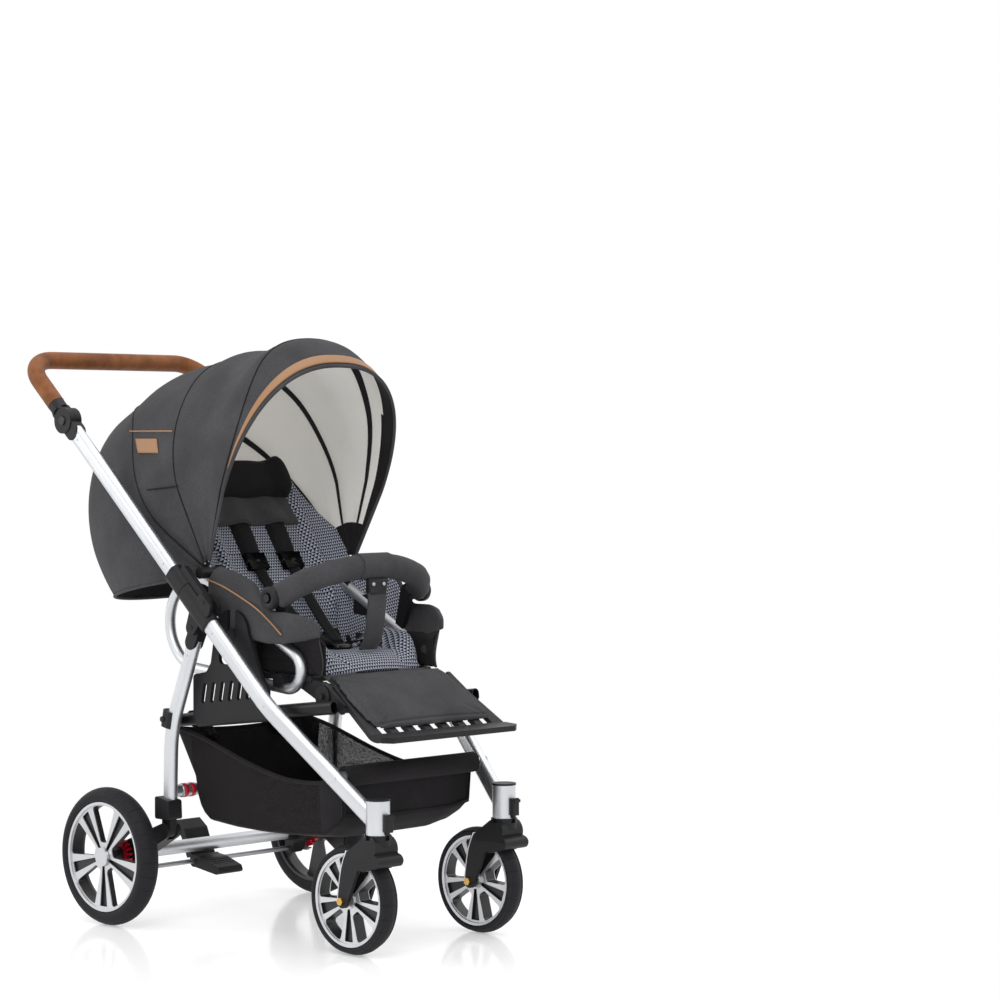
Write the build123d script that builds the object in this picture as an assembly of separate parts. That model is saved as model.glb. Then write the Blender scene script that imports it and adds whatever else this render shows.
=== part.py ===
"""Four-wheel folding baby stroller with a reclining sport seat. Millimetres, +X forward, +Z up."""
import os
from math import atan2, cos, degrees, hypot, radians, sin, tan

from build123d import *

# Heights are above the floor. Lengths along X are taken from the rear axle.
GAP = 0.4
RUN = 0.05

# wheels
REAR_WHEEL_D = 280
REAR_TYRE_W = 46
REAR_RIM_D = 222
FRONT_WHEEL_D = 212
FRONT_TYRE_W = 42
FRONT_RIM_D = 180
CASTER_TRACK = 346
CASTER_X = 672
TRAIL = 66
SPOKES = 5
TREAD_GROOVE = 2.4
LIP_W = 5
HUB_D = 46
AXLE_D = 12
BRAKE_SLOTS = 20
BRAKE_RING_D = 70
BRAKE_RING_W = 8

# frame tubes
TUBE_H = 36
TUBE_T = 24
TUBE_WALL = 2
SIDE_Y = 238
FRAME_SLOPE = 41.8
SPLIT_X = 188
SPLIT_Z = 685
PUSH_LEN = 497
SLEEVE_H = 44
SLEEVE_T = 32
UPPER_SLEEVE_LEN = 54
LOWER_SLEEVE_LEN = 100
KNEE_ALONG = 330
KNEE_R = 330
SCREW_ALONG = 322
FOLD_ALONG = 63.5
FOLD_ABOVE = 30
REAR_ALONG = 65.5
REAR_BELOW = 39
PIN_D = 10
CASTER_TUBE_D = 46
CASTER_TUBE_BOTTOM = 236.5
CASTER_TUBE_TOP = 301.5
STEM_D = 30

# rear frame
REAR_Y = SIDE_Y - 14
REAR_LEG_H = 32
REAR_LEG_T = 22
CLAMP_X = 120
CLAMP_Z = 423
FOOT_Z = 240
CROSS_Z = 276
CROSS_D = 24
SWING_X = 124
SWING_Z = 198
AXLE_TUBE_D = 28
ARM_Y0 = REAR_Y - 11
ARM_Y1 = REAR_Y + 23
REAR_TRACK = 2 * (ARM_Y1 + 14) + REAR_TYRE_W
BRAKE_ROD_X = -12
BRAKE_ROD_Z = 104
BRAKE_ROD_D = 10
FINGER_REACH = 22
FINGER_D = 4
BRAKE_TURN = 35
PEDAL_Y = -20
PEDAL_W = 64

# carrier tube and side plates
CARRIER_Y = SIDE_Y - 44
CARRIER_W = 20
CARRIER_H = 26
CARRIER_BACK = 40
CARRIER_FRONT = 573
CARRIER_Z0 = 409
CARRIER_RISE = 0.12
PLATE_Y0 = CARRIER_Y + 5
PLATE_T = 8
SEAT_X = 288
SEAT_Z = 600
STUD_D = 24

# handle
HANDLE_ARM = 196
HANDLE_SLOPE = 138.5
HANDLE_BEND = 70
GRIP_D = 37
CORE_D = 30
HUB_DISC_D = 54
BUTTON_D = 20
BUTTON_STROKE = 3

# seat
HOOP_Y = SIDE_Y - 68
HOOP_D = 22
HOOP_BACK = (148, 615, 92)
HOOP_FRONT = (416, 535, 37)
WALL_Y = HOOP_Y + 23.4
WALL_T = 5
BOARD_TOP = 526
BOARD_HALF = HOOP_Y - 6
PAD_HALF = HOOP_Y - 28
BACK_X = 258
BACK_Z = 548
BACK_SLOPE = 122
PAD_FRONT = 500
BACK_LEN = 430
BACK_W = 2 * (HOOP_Y - 25)
BACK_PAD = 26
FOOT_X = 520
FOOT_HINGE_Z = 490
FOOT_SLOPE = -34
FOOT_W = 2 * (HOOP_Y + 13)
FOOT_LEN = 168
LIP_LEN = 47
BUCKLE_X = 374
BUCKLE_Z = 564
BUCKLE_BUTTON_D = 18
BUMPER_X = 404
BUMPER_Z = 677
BUMPER_D = 44
BUMPER_REACH = 112
BUMPER_RISE = 31
SLEEVE_HALF = 36
BUMPER_Y = WALL_Y + WALL_T + 0.6

# canopy: the rear panel is fixed and outermost, the front one runs inside it and the middle one innermost
CANOPY_X = 205
CANOPY_Z = 720
CANOPY_ANGLES = (66, 98, 132)
REAR_ANGLES = (118, 191)
FRONT_TOP = 478
MID_TOP = 464
REAR_TOP = 480
REAR_BACK = 60
REAR_DROP = 10
CANOPY_HALF = SIDE_Y - 22
CANOPY_WAIST = 185
CANOPY_TAPER = 20
CANOPY_FOOT_R = 56
CANOPY_SKIN = 3
CANOPY_STEP = 5
PIVOT_D = 24

# basket
ROLL_X = 582
ROLL_Z = 340
ROLL_D = 40
CROSS_TUBE_D = 20
BASKET_HALF = CARRIER_Y - 17
BASKET_SKIN = 3
FRONT_WHEEL_X = CASTER_X - TRAIL
PARTS = {}


def along(angle, distance=1.0):
    """X and Z of a step in the side plane."""
    return distance * cos(radians(angle)), distance * sin(radians(angle))


def on_tube(distance, rise):
    """Point on the line of push tube and front leg, down from the sleeve split and above it."""
    dx, dz = along(-FRAME_SLOPE, distance)
    ux, uz = along(90 - FRAME_SLOPE, rise)
    return SPLIT_X + dx + ux, SPLIT_Z + dz + uz


def side_plane(y):
    """Sketch plane with X forward and Z up, facing -Y."""
    return Plane(origin=(0, y, 0), x_dir=(1, 0, 0), z_dir=(0, -1, 0))


def slab(sketch, y_low, y_high):
    """Side-view sketch made solid between two Y values."""
    return extrude(side_plane(y_high) * sketch, amount=y_high - y_low, dir=(0, -1, 0))


def outline(points, radius=0.0):
    """Polygon with rounded corners, always facing the same way."""
    turn = 0
    for here, there in zip(points, points[1:] + points[:1]):
        turn += here[0] * there[1] - there[0] * here[1]
    face = Polygon(*(points if turn > 0 else points[::-1]), align=None)
    if radius:
        face = fillet(face.vertices(), radius)
    return face


def disc(x, z, diameter, y_low, y_high):
    """Round solid on an axis along Y."""
    return slab(Pos(x, z) * Circle(diameter / 2), y_low, y_high)


def bar(x, z, diameter, half):
    """Round bar across the stroller."""
    return disc(x, z, diameter, -half, half)


def other(piece):
    """The same piece on the left side."""
    return mirror(piece, about=Plane.XZ)


def pair(piece):
    """Right and left piece as one node."""
    return Compound([*piece.solids(), *other(piece).solids()])


def tube_section(height, thickness, wall):
    """Oval tube section, tall side in the side plane."""
    outer = SlotOverall(height, thickness, rotation=90)
    return outer - SlotOverall(height - 2 * wall, thickness - 2 * wall, rotation=90)


def swept(section, path):
    """Section carried along a path, its first axis kept along Y at the start."""
    start = Plane(origin=path @ 0, x_dir=(0, 1, 0), z_dir=path % 0)
    return sweep(start * section, path=path)


def capsule(x0, z0, d0, x1, z1, d1):
    """Two round ends joined by straight sides."""
    angle = degrees(atan2(z1 - z0, x1 - x0))
    ux, uz = along(angle + 90)
    web = Polygon(
        (x0 + ux * d0 / 2, z0 + uz * d0 / 2),
        (x0 - ux * d0 / 2, z0 - uz * d0 / 2),
        (x1 - ux * d1 / 2, z1 - uz * d1 / 2),
        (x1 + ux * d1 / 2, z1 + uz * d1 / 2),
        align=None,
    )
    return web + Pos(x0, z0) * Circle(d0 / 2) + Pos(x1, z1) * Circle(d1 / 2)


def rivet(x, z, y):
    """Rivet head on the outer face of a right-hand tube."""
    return disc(x, z, 7, -y - 1.2, -y + 0.8)


# wheels, made on Z with the outer face up, then laid on their axles


def rim(rim_d, width, bore, both_faces):
    """Rim of five double spokes: a plate with rounded windows and a slot sunk along each spoke."""
    r_out = rim_d / 2
    r_in = r_out - LIP_W
    half = width / 2 - 3
    face = half - 4
    ring = revolve(
        Plane.XZ
        * Polygon(
            (r_in, -half + 1),
            (r_out, -half),
            (r_out, half),
            (r_in, half - 1),
            (r_in - 2, half - 8),
            (r_in - 2, -half + 8),
            align=None,
        ),
        axis=Axis.Z,
    )
    back = -face if both_faces else face - 14
    plate = Pos(0, 0, back) * extrude(Circle(r_in), amount=face - back)
    window = outline([(29, -9), (r_out + 20, -0.44 * r_out), (r_out + 20, 0.44 * r_out), (29, 9)])
    window = window & Circle(r_in - 2)
    window = fillet(window.vertices(), 6)
    sunk = outline([(17, -3.4), (r_in - 5, -11.5), (r_in - 5, 11.5), (17, 3.4)], 2.5)
    turn = 360 / SPOKES
    for number in range(SPOKES):
        plate -= Rot(0, 0, 270 + (number + 0.5) * turn) * Pos(0, 0, back - 5) * extrude(window, amount=60)
        slot = Pos(0, 0, face - 6) * extrude(sunk, amount=20)
        plate -= Rot(0, 0, 270 + number * turn) * slot
        if both_faces:
            plate -= Rot(0, 0, 270 + number * turn) * mirror(slot, about=Plane.XY)
    body = ring + plate + Pos(0, 0, -2) * Cylinder(HUB_D / 2 - 6, width - 4)
    return body - Cylinder(bore / 2, 3 * width)


def tyre(wheel_d, rim_d, width):
    """Tyre with bulged walls and a round crown on the rim seat."""
    seat = rim_d / 2
    top = wheel_d / 2
    half = width / 2
    wall = seat + (top - seat) * 0.42
    shoulder = (top - 5, half * 0.66)
    right = ThreePointArc((seat + 1, half - 4), (wall, half), shoulder)
    crown = ThreePointArc(shoulder, (top, 0), (shoulder[0], -shoulder[1]))
    left = ThreePointArc((shoulder[0], -shoulder[1]), (wall, -half), (seat + 1, -half + 4))
    foot = Polyline((seat + 1, -half + 4), (seat, -half + 6), (seat, half - 6), (seat + 1, half - 4))
    body = revolve(Plane.XZ * make_face(right + crown + left + foot), axis=Axis.Z)
    for z in (-0.3, 0.3):
        groove = Plane.XZ * (Pos(top - 1, z * width) * Rectangle(4, TREAD_GROOVE))
        body -= revolve(groove, axis=Axis.Z)
    return body


def brake_ring():
    """Slotted ring inside a rear hub; one slot stands over the brake finger."""
    ring = Cylinder(BRAKE_RING_D / 2, BRAKE_RING_W) - Cylinder(AXLE_D / 2 + 1, 20)
    turn = FINGER_ANGLE
    for number in range(BRAKE_SLOTS):
        slot = Pos(BRAKE_RING_D / 2 - 5, 0, 0) * Box(17, FINGER_D + 2, 3 * BRAKE_RING_W)
        ring -= Rot(0, 0, turn + number * 360 / BRAKE_SLOTS) * slot
    return ring


def lay(piece, x, y, z):
    """Put a wheel piece on the right-hand side, outer face to -Y."""
    return Pos(x, -y, z) * Rot(90, 0, 0) * piece


FOLD_X, FOLD_Z = on_tube(FOLD_ALONG, FOLD_ABOVE)
REAR_X, REAR_Z = on_tube(REAR_ALONG, -REAR_BELOW)
HANDLE_X, HANDLE_Z = on_tube(-PUSH_LEN - 14, 0)
CORNER_X = HANDLE_X + along(HANDLE_SLOPE, HANDLE_ARM)[0]
CORNER_Z = HANDLE_Z + along(HANDLE_SLOPE, HANDLE_ARM)[1]
AXLE_Z = REAR_WHEEL_D / 2
finger_dx, finger_dz = along(BRAKE_TURN - 5, FINGER_REACH)
FINGER_ANGLE = degrees(atan2(BRAKE_ROD_Z + finger_dz - AXLE_Z, BRAKE_ROD_X + finger_dx))
X_BACK = CORNER_X - GRIP_D / 2
X_FRONT = FRONT_WHEEL_X + FRONT_WHEEL_D / 2
MIDDLE = (X_BACK + X_FRONT) / 2


def keep(name, piece):
    """Name a node and move it so the middle of the length lies on the origin."""
    PARTS[name] = Pos(-MIDDLE, 0, 0) * piece


def keep_sides(name, piece):
    """Right-hand piece and its mirror as two nodes."""
    keep(name + "_right", piece)
    keep(name + "_left", other(piece))


def wheels():
    """Rear and front wheels."""
    half = REAR_TRACK / 2
    cap = Pos(0, 0, REAR_TYRE_W / 2 - 3) * Cylinder(19, 5)
    body = rim(REAR_RIM_D, REAR_TYRE_W, AXLE_D + 2 * RUN, False) + cap
    ring_y = half - (REAR_TYRE_W - 4) / 2 - 2 - BRAKE_RING_W / 2
    keep_sides("rear_tyre", lay(tyre(REAR_WHEEL_D, REAR_RIM_D, REAR_TYRE_W), 0, half, AXLE_Z))
    keep_sides("rear_rim", lay(body, 0, half, AXLE_Z))
    keep_sides("brake_ring", lay(brake_ring(), 0, ring_y, AXLE_Z))
    x = FRONT_WHEEL_X
    y = CASTER_TRACK / 2
    z = FRONT_WHEEL_D / 2
    keep_sides("front_tyre", lay(tyre(FRONT_WHEEL_D, FRONT_RIM_D, FRONT_TYRE_W), x, y, z))
    keep_sides("front_rim", lay(rim(FRONT_RIM_D, FRONT_TYRE_W, AXLE_D + 2 * RUN, True), x, y, z))


def casters():
    """Forks with stems, axle bolts and swivel locks."""
    y = CASTER_TRACK / 2
    x = FRONT_WHEEL_X
    z = FRONT_WHEEL_D / 2
    inner = FRONT_TYRE_W / 2 + 4
    outer = inner + 8
    top = CASTER_TUBE_BOTTOM - GAP
    shape = capsule(x + 1, z, 27, x + 24, z + 76, 46)
    shape += capsule(x + 24, z + 76, 46, CASTER_X, top - 24, 48)
    shape += capsule(CASTER_X - 8, z + 86, 48, CASTER_X + 24, z + 82, 24)
    body = slab(shape, -outer, outer)
    body -= disc(x, z, FRONT_WHEEL_D + 10, -inner, inner)
    front_view = outline(
        [(-outer, z - 30), (-outer, z + 84), (-CASTER_TUBE_D / 2 - 3, top), (CASTER_TUBE_D / 2 + 3, top),
         (outer, z + 84), (outer, z - 30)], 9
    )
    body &= extrude(Plane.YZ * front_view, amount=2 * CASTER_X)
    crown = Pos(CASTER_X, 0, top - 10) * Cylinder(CASTER_TUBE_D / 2 + 3, 20)
    stem_top = CASTER_TUBE_TOP - 8
    stem = Pos(CASTER_X, 0, (top + stem_top) / 2) * Cylinder(STEM_D / 2 - RUN, stem_top - top)
    body += crown + stem
    lock_x = CASTER_X + CASTER_TUBE_D / 2 + 2
    for number in range(4):
        notch = Pos(lock_x - CASTER_X, 0, top - 4) * Box(9, 11, 9)
        body -= Pos(CASTER_X, 0, 0) * Rot(0, 0, number * 90) * notch
    body -= disc(x, z, AXLE_D - 2, -outer - 5, outer + 5)
    keep_sides("fork", Pos(0, -y, 0) * body)
    bolt = disc(x, z, AXLE_D - 2, -outer - 1, outer + 1)
    bolt += disc(x, z, AXLE_D, -inner + 0.5, inner - 0.5)
    head = slab(Pos(x, z) * RegularPolygon(8, 6), -outer - 6, -outer)
    keep_sides("axle_bolt", Pos(0, -y, 0) * (bolt + head + other(head)))
    slider = Pos(lock_x + 4, 0, top + 24) * Box(11, 18, 34)
    slider = fillet(slider.edges().filter_by(Axis.Z), 3)
    slider += Pos(lock_x + 0.5, 0, top + 7) * Box(6, 8, 12)
    slider += Pos(lock_x + 10, 0, top + 36) * Box(5, 16, 6)
    slider -= Pos(CASTER_X, 0, top + 40) * Cylinder(CASTER_TUBE_D / 2 + GAP, 120)
    keep_sides("swivel_lock", Pos(0, -y, 0) * slider)


def front_frame():
    """Legs, sleeves, cross tube, carrier tube and side plates."""
    start = on_tube(34, 0)
    knee = on_tube(KNEE_ALONG, 0)
    end_x = CASTER_X - 8
    end_z = CASTER_TUBE_BOTTOM + 26
    y = CASTER_TRACK / 2
    path = FilletPolyline(
        (start[0], -SIDE_Y, start[1]),
        (knee[0], -SIDE_Y, knee[1]),
        (end_x, -y - 2, end_z),
        radius=KNEE_R,
    )
    # how far the leg has come in at the lower screw and at the cross tube
    turn_in = atan2(SIDE_Y - y - 2, hypot(end_x - knee[0], knee[1] - end_z))
    past_bend = max(0, SCREW_ALONG - KNEE_ALONG + KNEE_R * tan(turn_in / 2))
    screw_in = past_bend**2 / (2 * KNEE_R)
    cross_y = SIDE_Y - (SIDE_Y - y - 2) * (ROLL_X - knee[0]) / (end_x - knee[0])
    leg = swept(tube_section(TUBE_H, TUBE_T, TUBE_WALL), path)
    mid_z = (CASTER_TUBE_BOTTOM + CASTER_TUBE_TOP) / 2
    tube_len = CASTER_TUBE_TOP - CASTER_TUBE_BOTTOM
    leg += Pos(CASTER_X, -y, mid_z) * Cylinder(CASTER_TUBE_D / 2, tube_len)
    leg -= Pos(CASTER_X, -y, mid_z) * Cylinder(STEM_D / 2, tube_len + 40)
    rivet_at = on_tube(120, 0)
    screw_at = on_tube(SCREW_ALONG, 0)
    leg += rivet(rivet_at[0], rivet_at[1], SIDE_Y + TUBE_T / 2)
    leg += rivet(screw_at[0], screw_at[1], SIDE_Y - screw_in + TUBE_T / 2)
    leg -= bar(ROLL_X, ROLL_Z, CROSS_TUBE_D, cross_y + TUBE_T / 2)
    keep_sides("front_leg", leg)
    keep("front_cross_tube", bar(ROLL_X, ROLL_Z, CROSS_TUBE_D, cross_y + TUBE_T / 2 - 8))

    top = on_tube(1, 0)
    plane = Plane(origin=(top[0], -SIDE_Y, top[1]), x_dir=(0, 1, 0), z_dir=(*_d(0),))
    sleeve = extrude(plane * SlotOverall(SLEEVE_H, SLEEVE_T, rotation=90), amount=LOWER_SLEEVE_LEN)
    sleeve = chamfer(sleeve.faces().sort_by(Axis.X)[-1].edges(), 2)
    fold_ear = outline([on_tube(44, 14), on_tube(46, 40), on_tube(86, 40), on_tube(98, 14)], 8)
    for y0 in (-SIDE_Y - 15, -SIDE_Y + 6.5):
        sleeve += slab(fold_ear, y0, y0 + 8.5)
    ear = capsule(*on_tube(REAR_ALONG - 6, -12), 40, REAR_X, REAR_Z, 30)
    sleeve += slab(ear, -SIDE_Y - 8, -SIDE_Y + 1)
    sleeve -= extrude(plane.offset(33) * SlotOverall(TUBE_H, TUBE_T, rotation=90), amount=120)
    sleeve -= slab(capsule(*on_tube(-10, FOLD_ABOVE), 17, FOLD_X, FOLD_Z, 17), -SIDE_Y - 6.5, -SIDE_Y + 6.5)
    sleeve += disc(FOLD_X, FOLD_Z, PIN_D - 2 * RUN, -SIDE_Y - 16, -SIDE_Y + 15)
    sleeve += disc(REAR_X, REAR_Z, PIN_D - 2 * RUN, -SIDE_Y - 9, -REAR_Y + 10)
    cap = Pos(CASTER_X, -y, CASTER_TUBE_TOP + 2) * Cylinder(CASTER_TUBE_D / 2 + 1, 4)
    cap += Pos(CASTER_X, -y, CASTER_TUBE_TOP - 3) * Cylinder(STEM_D / 2, 6)
    keep("frame_fittings", pair(Compound([*sleeve.solids(), *cap.solids()])))

    slope = degrees(atan2(CARRIER_RISE, 1))
    plane = Plane(origin=(0, 0, CARRIER_Z0 - CARRIER_RISE * CARRIER_BACK), x_dir=(1, 0, CARRIER_RISE),
                  z_dir=(-CARRIER_RISE, 0, 1))
    stretch = 1 / cos(radians(slope))
    corners = [
        (CARRIER_FRONT * stretch, -CARRIER_Y),
        (CARRIER_BACK * stretch, -CARRIER_Y),
        (CARRIER_BACK * stretch, CARRIER_Y),
        (CARRIER_FRONT * stretch, CARRIER_Y),
    ]
    path = plane * FilletPolyline(*corners, radius=72)
    keep("carrier_tube", swept(tube_section(CARRIER_H, CARRIER_W, TUBE_WALL), path))
    keep("side_plates", pair(side_plate(plane, stretch)))


def _d(angle):
    """Direction down the frame tube."""
    dx, dz = along(-FRAME_SLOPE - angle)
    return dx, 0, dz


def side_plate(plane, stretch):
    """Slotted plate with a cover round the carrier tube and an open socket for the seat stud."""
    carrier_z = CARRIER_Z0 + CARRIER_RISE * (172 - CARRIER_BACK)
    front_z = CARRIER_Z0 + CARRIER_RISE * (396 - CARRIER_BACK)
    base = outline(
        [(172, carrier_z), (172, 515), (212, 522), (240, 560), (340, 560), (396, 500), (396, front_z)], 9
    )
    lobe = Pos(SEAT_X, SEAT_Z) * Circle(50)
    neck = outline([(222, 520), (238, 605), (338, 605), (378, 520)])
    sketch = base + lobe + neck
    for number in range(6):
        x = 205 + number * 27
        z = carrier_z + CARRIER_RISE * (x - 172) + 50
        sketch -= Pos(x, z) * Rot(0, 0, 78) * SlotOverall(42, 11)
    sketch -= Pos(SEAT_X, SEAT_Z) * Circle(STUD_D / 2 + GAP)
    sketch -= Pos(SEAT_X, SEAT_Z + 50) * Rectangle(STUD_D + 2 * GAP, 100)
    sketch -= outline([(252, 540), (250, 566), (324, 566), (322, 540)], 10)
    plate = slab(sketch, -PLATE_Y0 - PLATE_T, -PLATE_Y0)
    cover = Plane(origin=plane.from_local_coords((178 * stretch, -CARRIER_Y, 0)), x_dir=(0, 1, 0),
                  z_dir=plane.x_dir)
    ring = SlotOverall(CARRIER_H + 8, CARRIER_W + 6, rotation=90)
    plate += extrude(cover * ring, amount=214)
    hole = Plane(origin=plane.from_local_coords((100, -CARRIER_Y, 0)), x_dir=(0, 1, 0), z_dir=plane.x_dir)
    return plate - extrude(hole * SlotOverall(CARRIER_H, CARRIER_W, rotation=90), amount=400)


def push_bar():
    """Push tubes, upper sleeves with hinge arms, handle knuckles and release sliders."""
    low = on_tube(-GAP, 0)
    direction = (-_d(0)[0], 0, -_d(0)[2])
    plane = Plane(origin=(low[0], -SIDE_Y, low[1]), x_dir=(0, 1, 0), z_dir=direction)
    tube = extrude(plane.offset(8) * tube_section(TUBE_H, TUBE_T, TUBE_WALL), amount=PUSH_LEN - 30)
    top_rivet = on_tube(-PUSH_LEN + 44, 0)
    low_rivet = on_tube(-80, 0)
    outside = SIDE_Y + TUBE_T / 2
    tube += rivet(*top_rivet, outside) + rivet(*low_rivet, outside)
    keep_sides("push_tube", tube)
    sleeve = extrude(plane * SlotOverall(SLEEVE_H, SLEEVE_T, rotation=90), amount=UPPER_SLEEVE_LEN)
    sleeve = chamfer(sleeve.faces().sort_by(Axis.Z)[-1].edges(), 2)
    sleeve -= extrude(plane.offset(8) * SlotOverall(TUBE_H, TUBE_T, rotation=90), amount=100)
    arm = capsule(*on_tube(-30, FOLD_ABOVE), 14, FOLD_X, FOLD_Z, 14)
    arm += outline(
        [on_tube(-44, 18), on_tube(-GAP, 18), on_tube(-GAP, FOLD_ABOVE + 7), on_tube(-24, FOLD_ABOVE + 7)]
    )
    arm -= Pos(FOLD_X, FOLD_Z) * Circle(PIN_D / 2)
    sleeve += slab(arm, -SIDE_Y - 6, -SIDE_Y + 6)
    neck = on_tube(-PUSH_LEN + 22, 0)
    knuckle = disc(HANDLE_X, HANDLE_Z, HUB_DISC_D, -SIDE_Y - 15, -SIDE_Y - GAP)
    web = capsule(*neck, TUBE_H - 2, HANDLE_X, HANDLE_Z, TUBE_H - 2)
    web -= Pos(HANDLE_X, HANDLE_Z) * Circle(HUB_DISC_D / 2 + 1)
    knuckle += slab(web, -SIDE_Y - 13, -SIDE_Y + 13)
    knuckle += slab(capsule(*neck, TUBE_H - 2, HANDLE_X, HANDLE_Z, TUBE_H - 2), -SIDE_Y - 13, -SIDE_Y - GAP)
    knuckle -= extrude(plane.offset(8) * SlotOverall(TUBE_H, TUBE_T, rotation=90), amount=PUSH_LEN - 30)
    knuckle -= disc(HANDLE_X, HANDLE_Z, BUTTON_D + 2 * GAP, -SIDE_Y - 20, -SIDE_Y - 9.5 + BUTTON_STROKE)
    knuckle -= disc(HANDLE_X, HANDLE_Z, 8, -SIDE_Y - 20, -SIDE_Y + 20)
    keep("push_fittings", pair(Compound([*sleeve.solids(), *knuckle.solids()])))
    button = disc(HANDLE_X, HANDLE_Z, BUTTON_D, -SIDE_Y - 18, -SIDE_Y - 10)
    keep_sides("handle_button", chamfer(button.faces().sort_by(Axis.Y)[0].edges(), 1.5))
    inner = SIDE_Y - TUBE_T / 2 - GAP
    slider = outline([on_tube(-300, -9), on_tube(-300, 9), on_tube(-352, 9), on_tube(-352, -9)], 8)
    grip = slab(slider, -inner, -inner + 5)
    for step in (-312, -320, -328, -336):
        x, z = on_tube(step, 0)
        grip -= Pos(x, -inner + 5, z) * Rot(0, FRAME_SLOPE, 0) * Box(3, 3, 14)
    keep_sides("fold_slider", grip)


def handle():
    """Bent tube, leather grip and hubs that turn in the knuckles."""
    begin = 36
    x0, z0 = HANDLE_X + along(HANDLE_SLOPE, begin)[0], HANDLE_Z + along(HANDLE_SLOPE, begin)[1]
    points = [
        (x0, -SIDE_Y, z0),
        (CORNER_X, -SIDE_Y, CORNER_Z),
        (CORNER_X, SIDE_Y, CORNER_Z),
        (x0, SIDE_Y, z0),
    ]
    path = FilletPolyline(*points, radius=HANDLE_BEND)
    keep("handle_tube", swept(Circle(CORE_D / 2) - Circle(CORE_D / 2 - 2.5), path))
    trim = 16
    dx, dz = along(HANDLE_SLOPE, trim)
    points[0] = (x0 + dx, -SIDE_Y, z0 + dz)
    points[3] = (x0 + dx, SIDE_Y, z0 + dz)
    path = FilletPolyline(*points, radius=HANDLE_BEND)
    keep("handle_grip", swept(Circle(GRIP_D / 2) - Circle(CORE_D / 2), path))
    hub = disc(HANDLE_X, HANDLE_Z, HUB_DISC_D, -SIDE_Y + GAP, -SIDE_Y + 15)
    web = capsule(HANDLE_X, HANDLE_Z, CORE_D, x0 - 0.5 * dx, z0 - 0.5 * dz, CORE_D)
    hub += slab(web - Pos(HANDLE_X, HANDLE_Z) * Circle(HUB_DISC_D / 2 + 1), -SIDE_Y - 14, -SIDE_Y + 14)
    hub += slab(web, -SIDE_Y + GAP, -SIDE_Y + 14)
    collar = Plane(origin=(x0, -SIDE_Y, z0), x_dir=(0, 1, 0), z_dir=(dx, 0, dz))
    hub += extrude(collar.offset(-6) * Circle(GRIP_D / 2 - 0.5), amount=trim + 6)
    hub -= extrude(collar * Circle(CORE_D / 2), amount=60)
    hub += disc(HANDLE_X, HANDLE_Z, 8 - 2 * RUN, -SIDE_Y - 5, -SIDE_Y + 5)
    keep("handle_hubs", pair(hub))


def rear_frame():
    """Rear legs, lugs, clamps, feet and the cross tube with its bands."""
    angle = degrees(atan2(CLAMP_Z - REAR_Z, CLAMP_X - REAR_X))
    x0, z0 = REAR_X + along(angle, 26)[0], REAR_Z + along(angle, 26)[1]
    path = FilletPolyline(
        (x0, -REAR_Y, z0), (CLAMP_X + 4, -REAR_Y, CLAMP_Z - 20), (CLAMP_X, -REAR_Y, FOOT_Z), radius=260
    )
    leg = swept(tube_section(REAR_LEG_H, REAR_LEG_T, TUBE_WALL), path)
    solid_leg = swept(SlotOverall(REAR_LEG_H, REAR_LEG_T, rotation=90), path)
    rivet_at = (REAR_X + along(angle, 62)[0], REAR_Z + along(angle, 62)[1])
    leg += rivet(*rivet_at, REAR_Y + REAR_LEG_T / 2)
    leg -= bar(CLAMP_X, CROSS_Z, CROSS_D, REAR_Y)
    keep_sides("rear_leg", leg)
    lug = capsule(REAR_X, REAR_Z, 31, *(REAR_X + along(angle, 34)[0], REAR_Z + along(angle, 34)[1]), 30)
    fitting = slab(lug, -REAR_Y - 12, -REAR_Y + 11)
    fitting -= disc(REAR_X, REAR_Z, PIN_D, -SIDE_Y - 20, 0)
    clamp_mid = Pos(CLAMP_X + 3, -REAR_Y, CLAMP_Z) * Rot(0, 12, 0)
    band = clamp_mid * extrude(SlotOverall(REAR_LEG_H + 8, REAR_LEG_T + 8), amount=17, both=True)
    band += disc(CLAMP_X - 6, CLAMP_Z, 12, -REAR_Y - 17, -REAR_Y)
    fitting = Compound([*fitting.solids(), *band.solids()])
    foot_shape = outline([(99, 222), (99, 268), (142, 260), (144, 222)], 5)
    foot = slab(foot_shape, -ARM_Y1, -ARM_Y0)
    foot += slab(capsule(SWING_X, SWING_Z, 26, SWING_X, 226, 26), -REAR_Y - 14.5, -REAR_Y + 2.5)
    foot -= disc(SWING_X, SWING_Z, PIN_D, -300, 0)
    fitting = Compound([*fitting.solids(), *foot.solids()]) - solid_leg
    fitting -= bar(CLAMP_X, CROSS_Z, CROSS_D, REAR_Y)
    keep("rear_fittings", pair(fitting))
    cross = bar(CLAMP_X, CROSS_Z, CROSS_D, REAR_Y - 4)
    for side in (-1, 1):
        mid = side * (REAR_Y - 44)
        cross += disc(CLAMP_X, CROSS_Z, CROSS_D + 3, mid - 18, mid + 18)
    keep("rear_cross_tube", cross)


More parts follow.
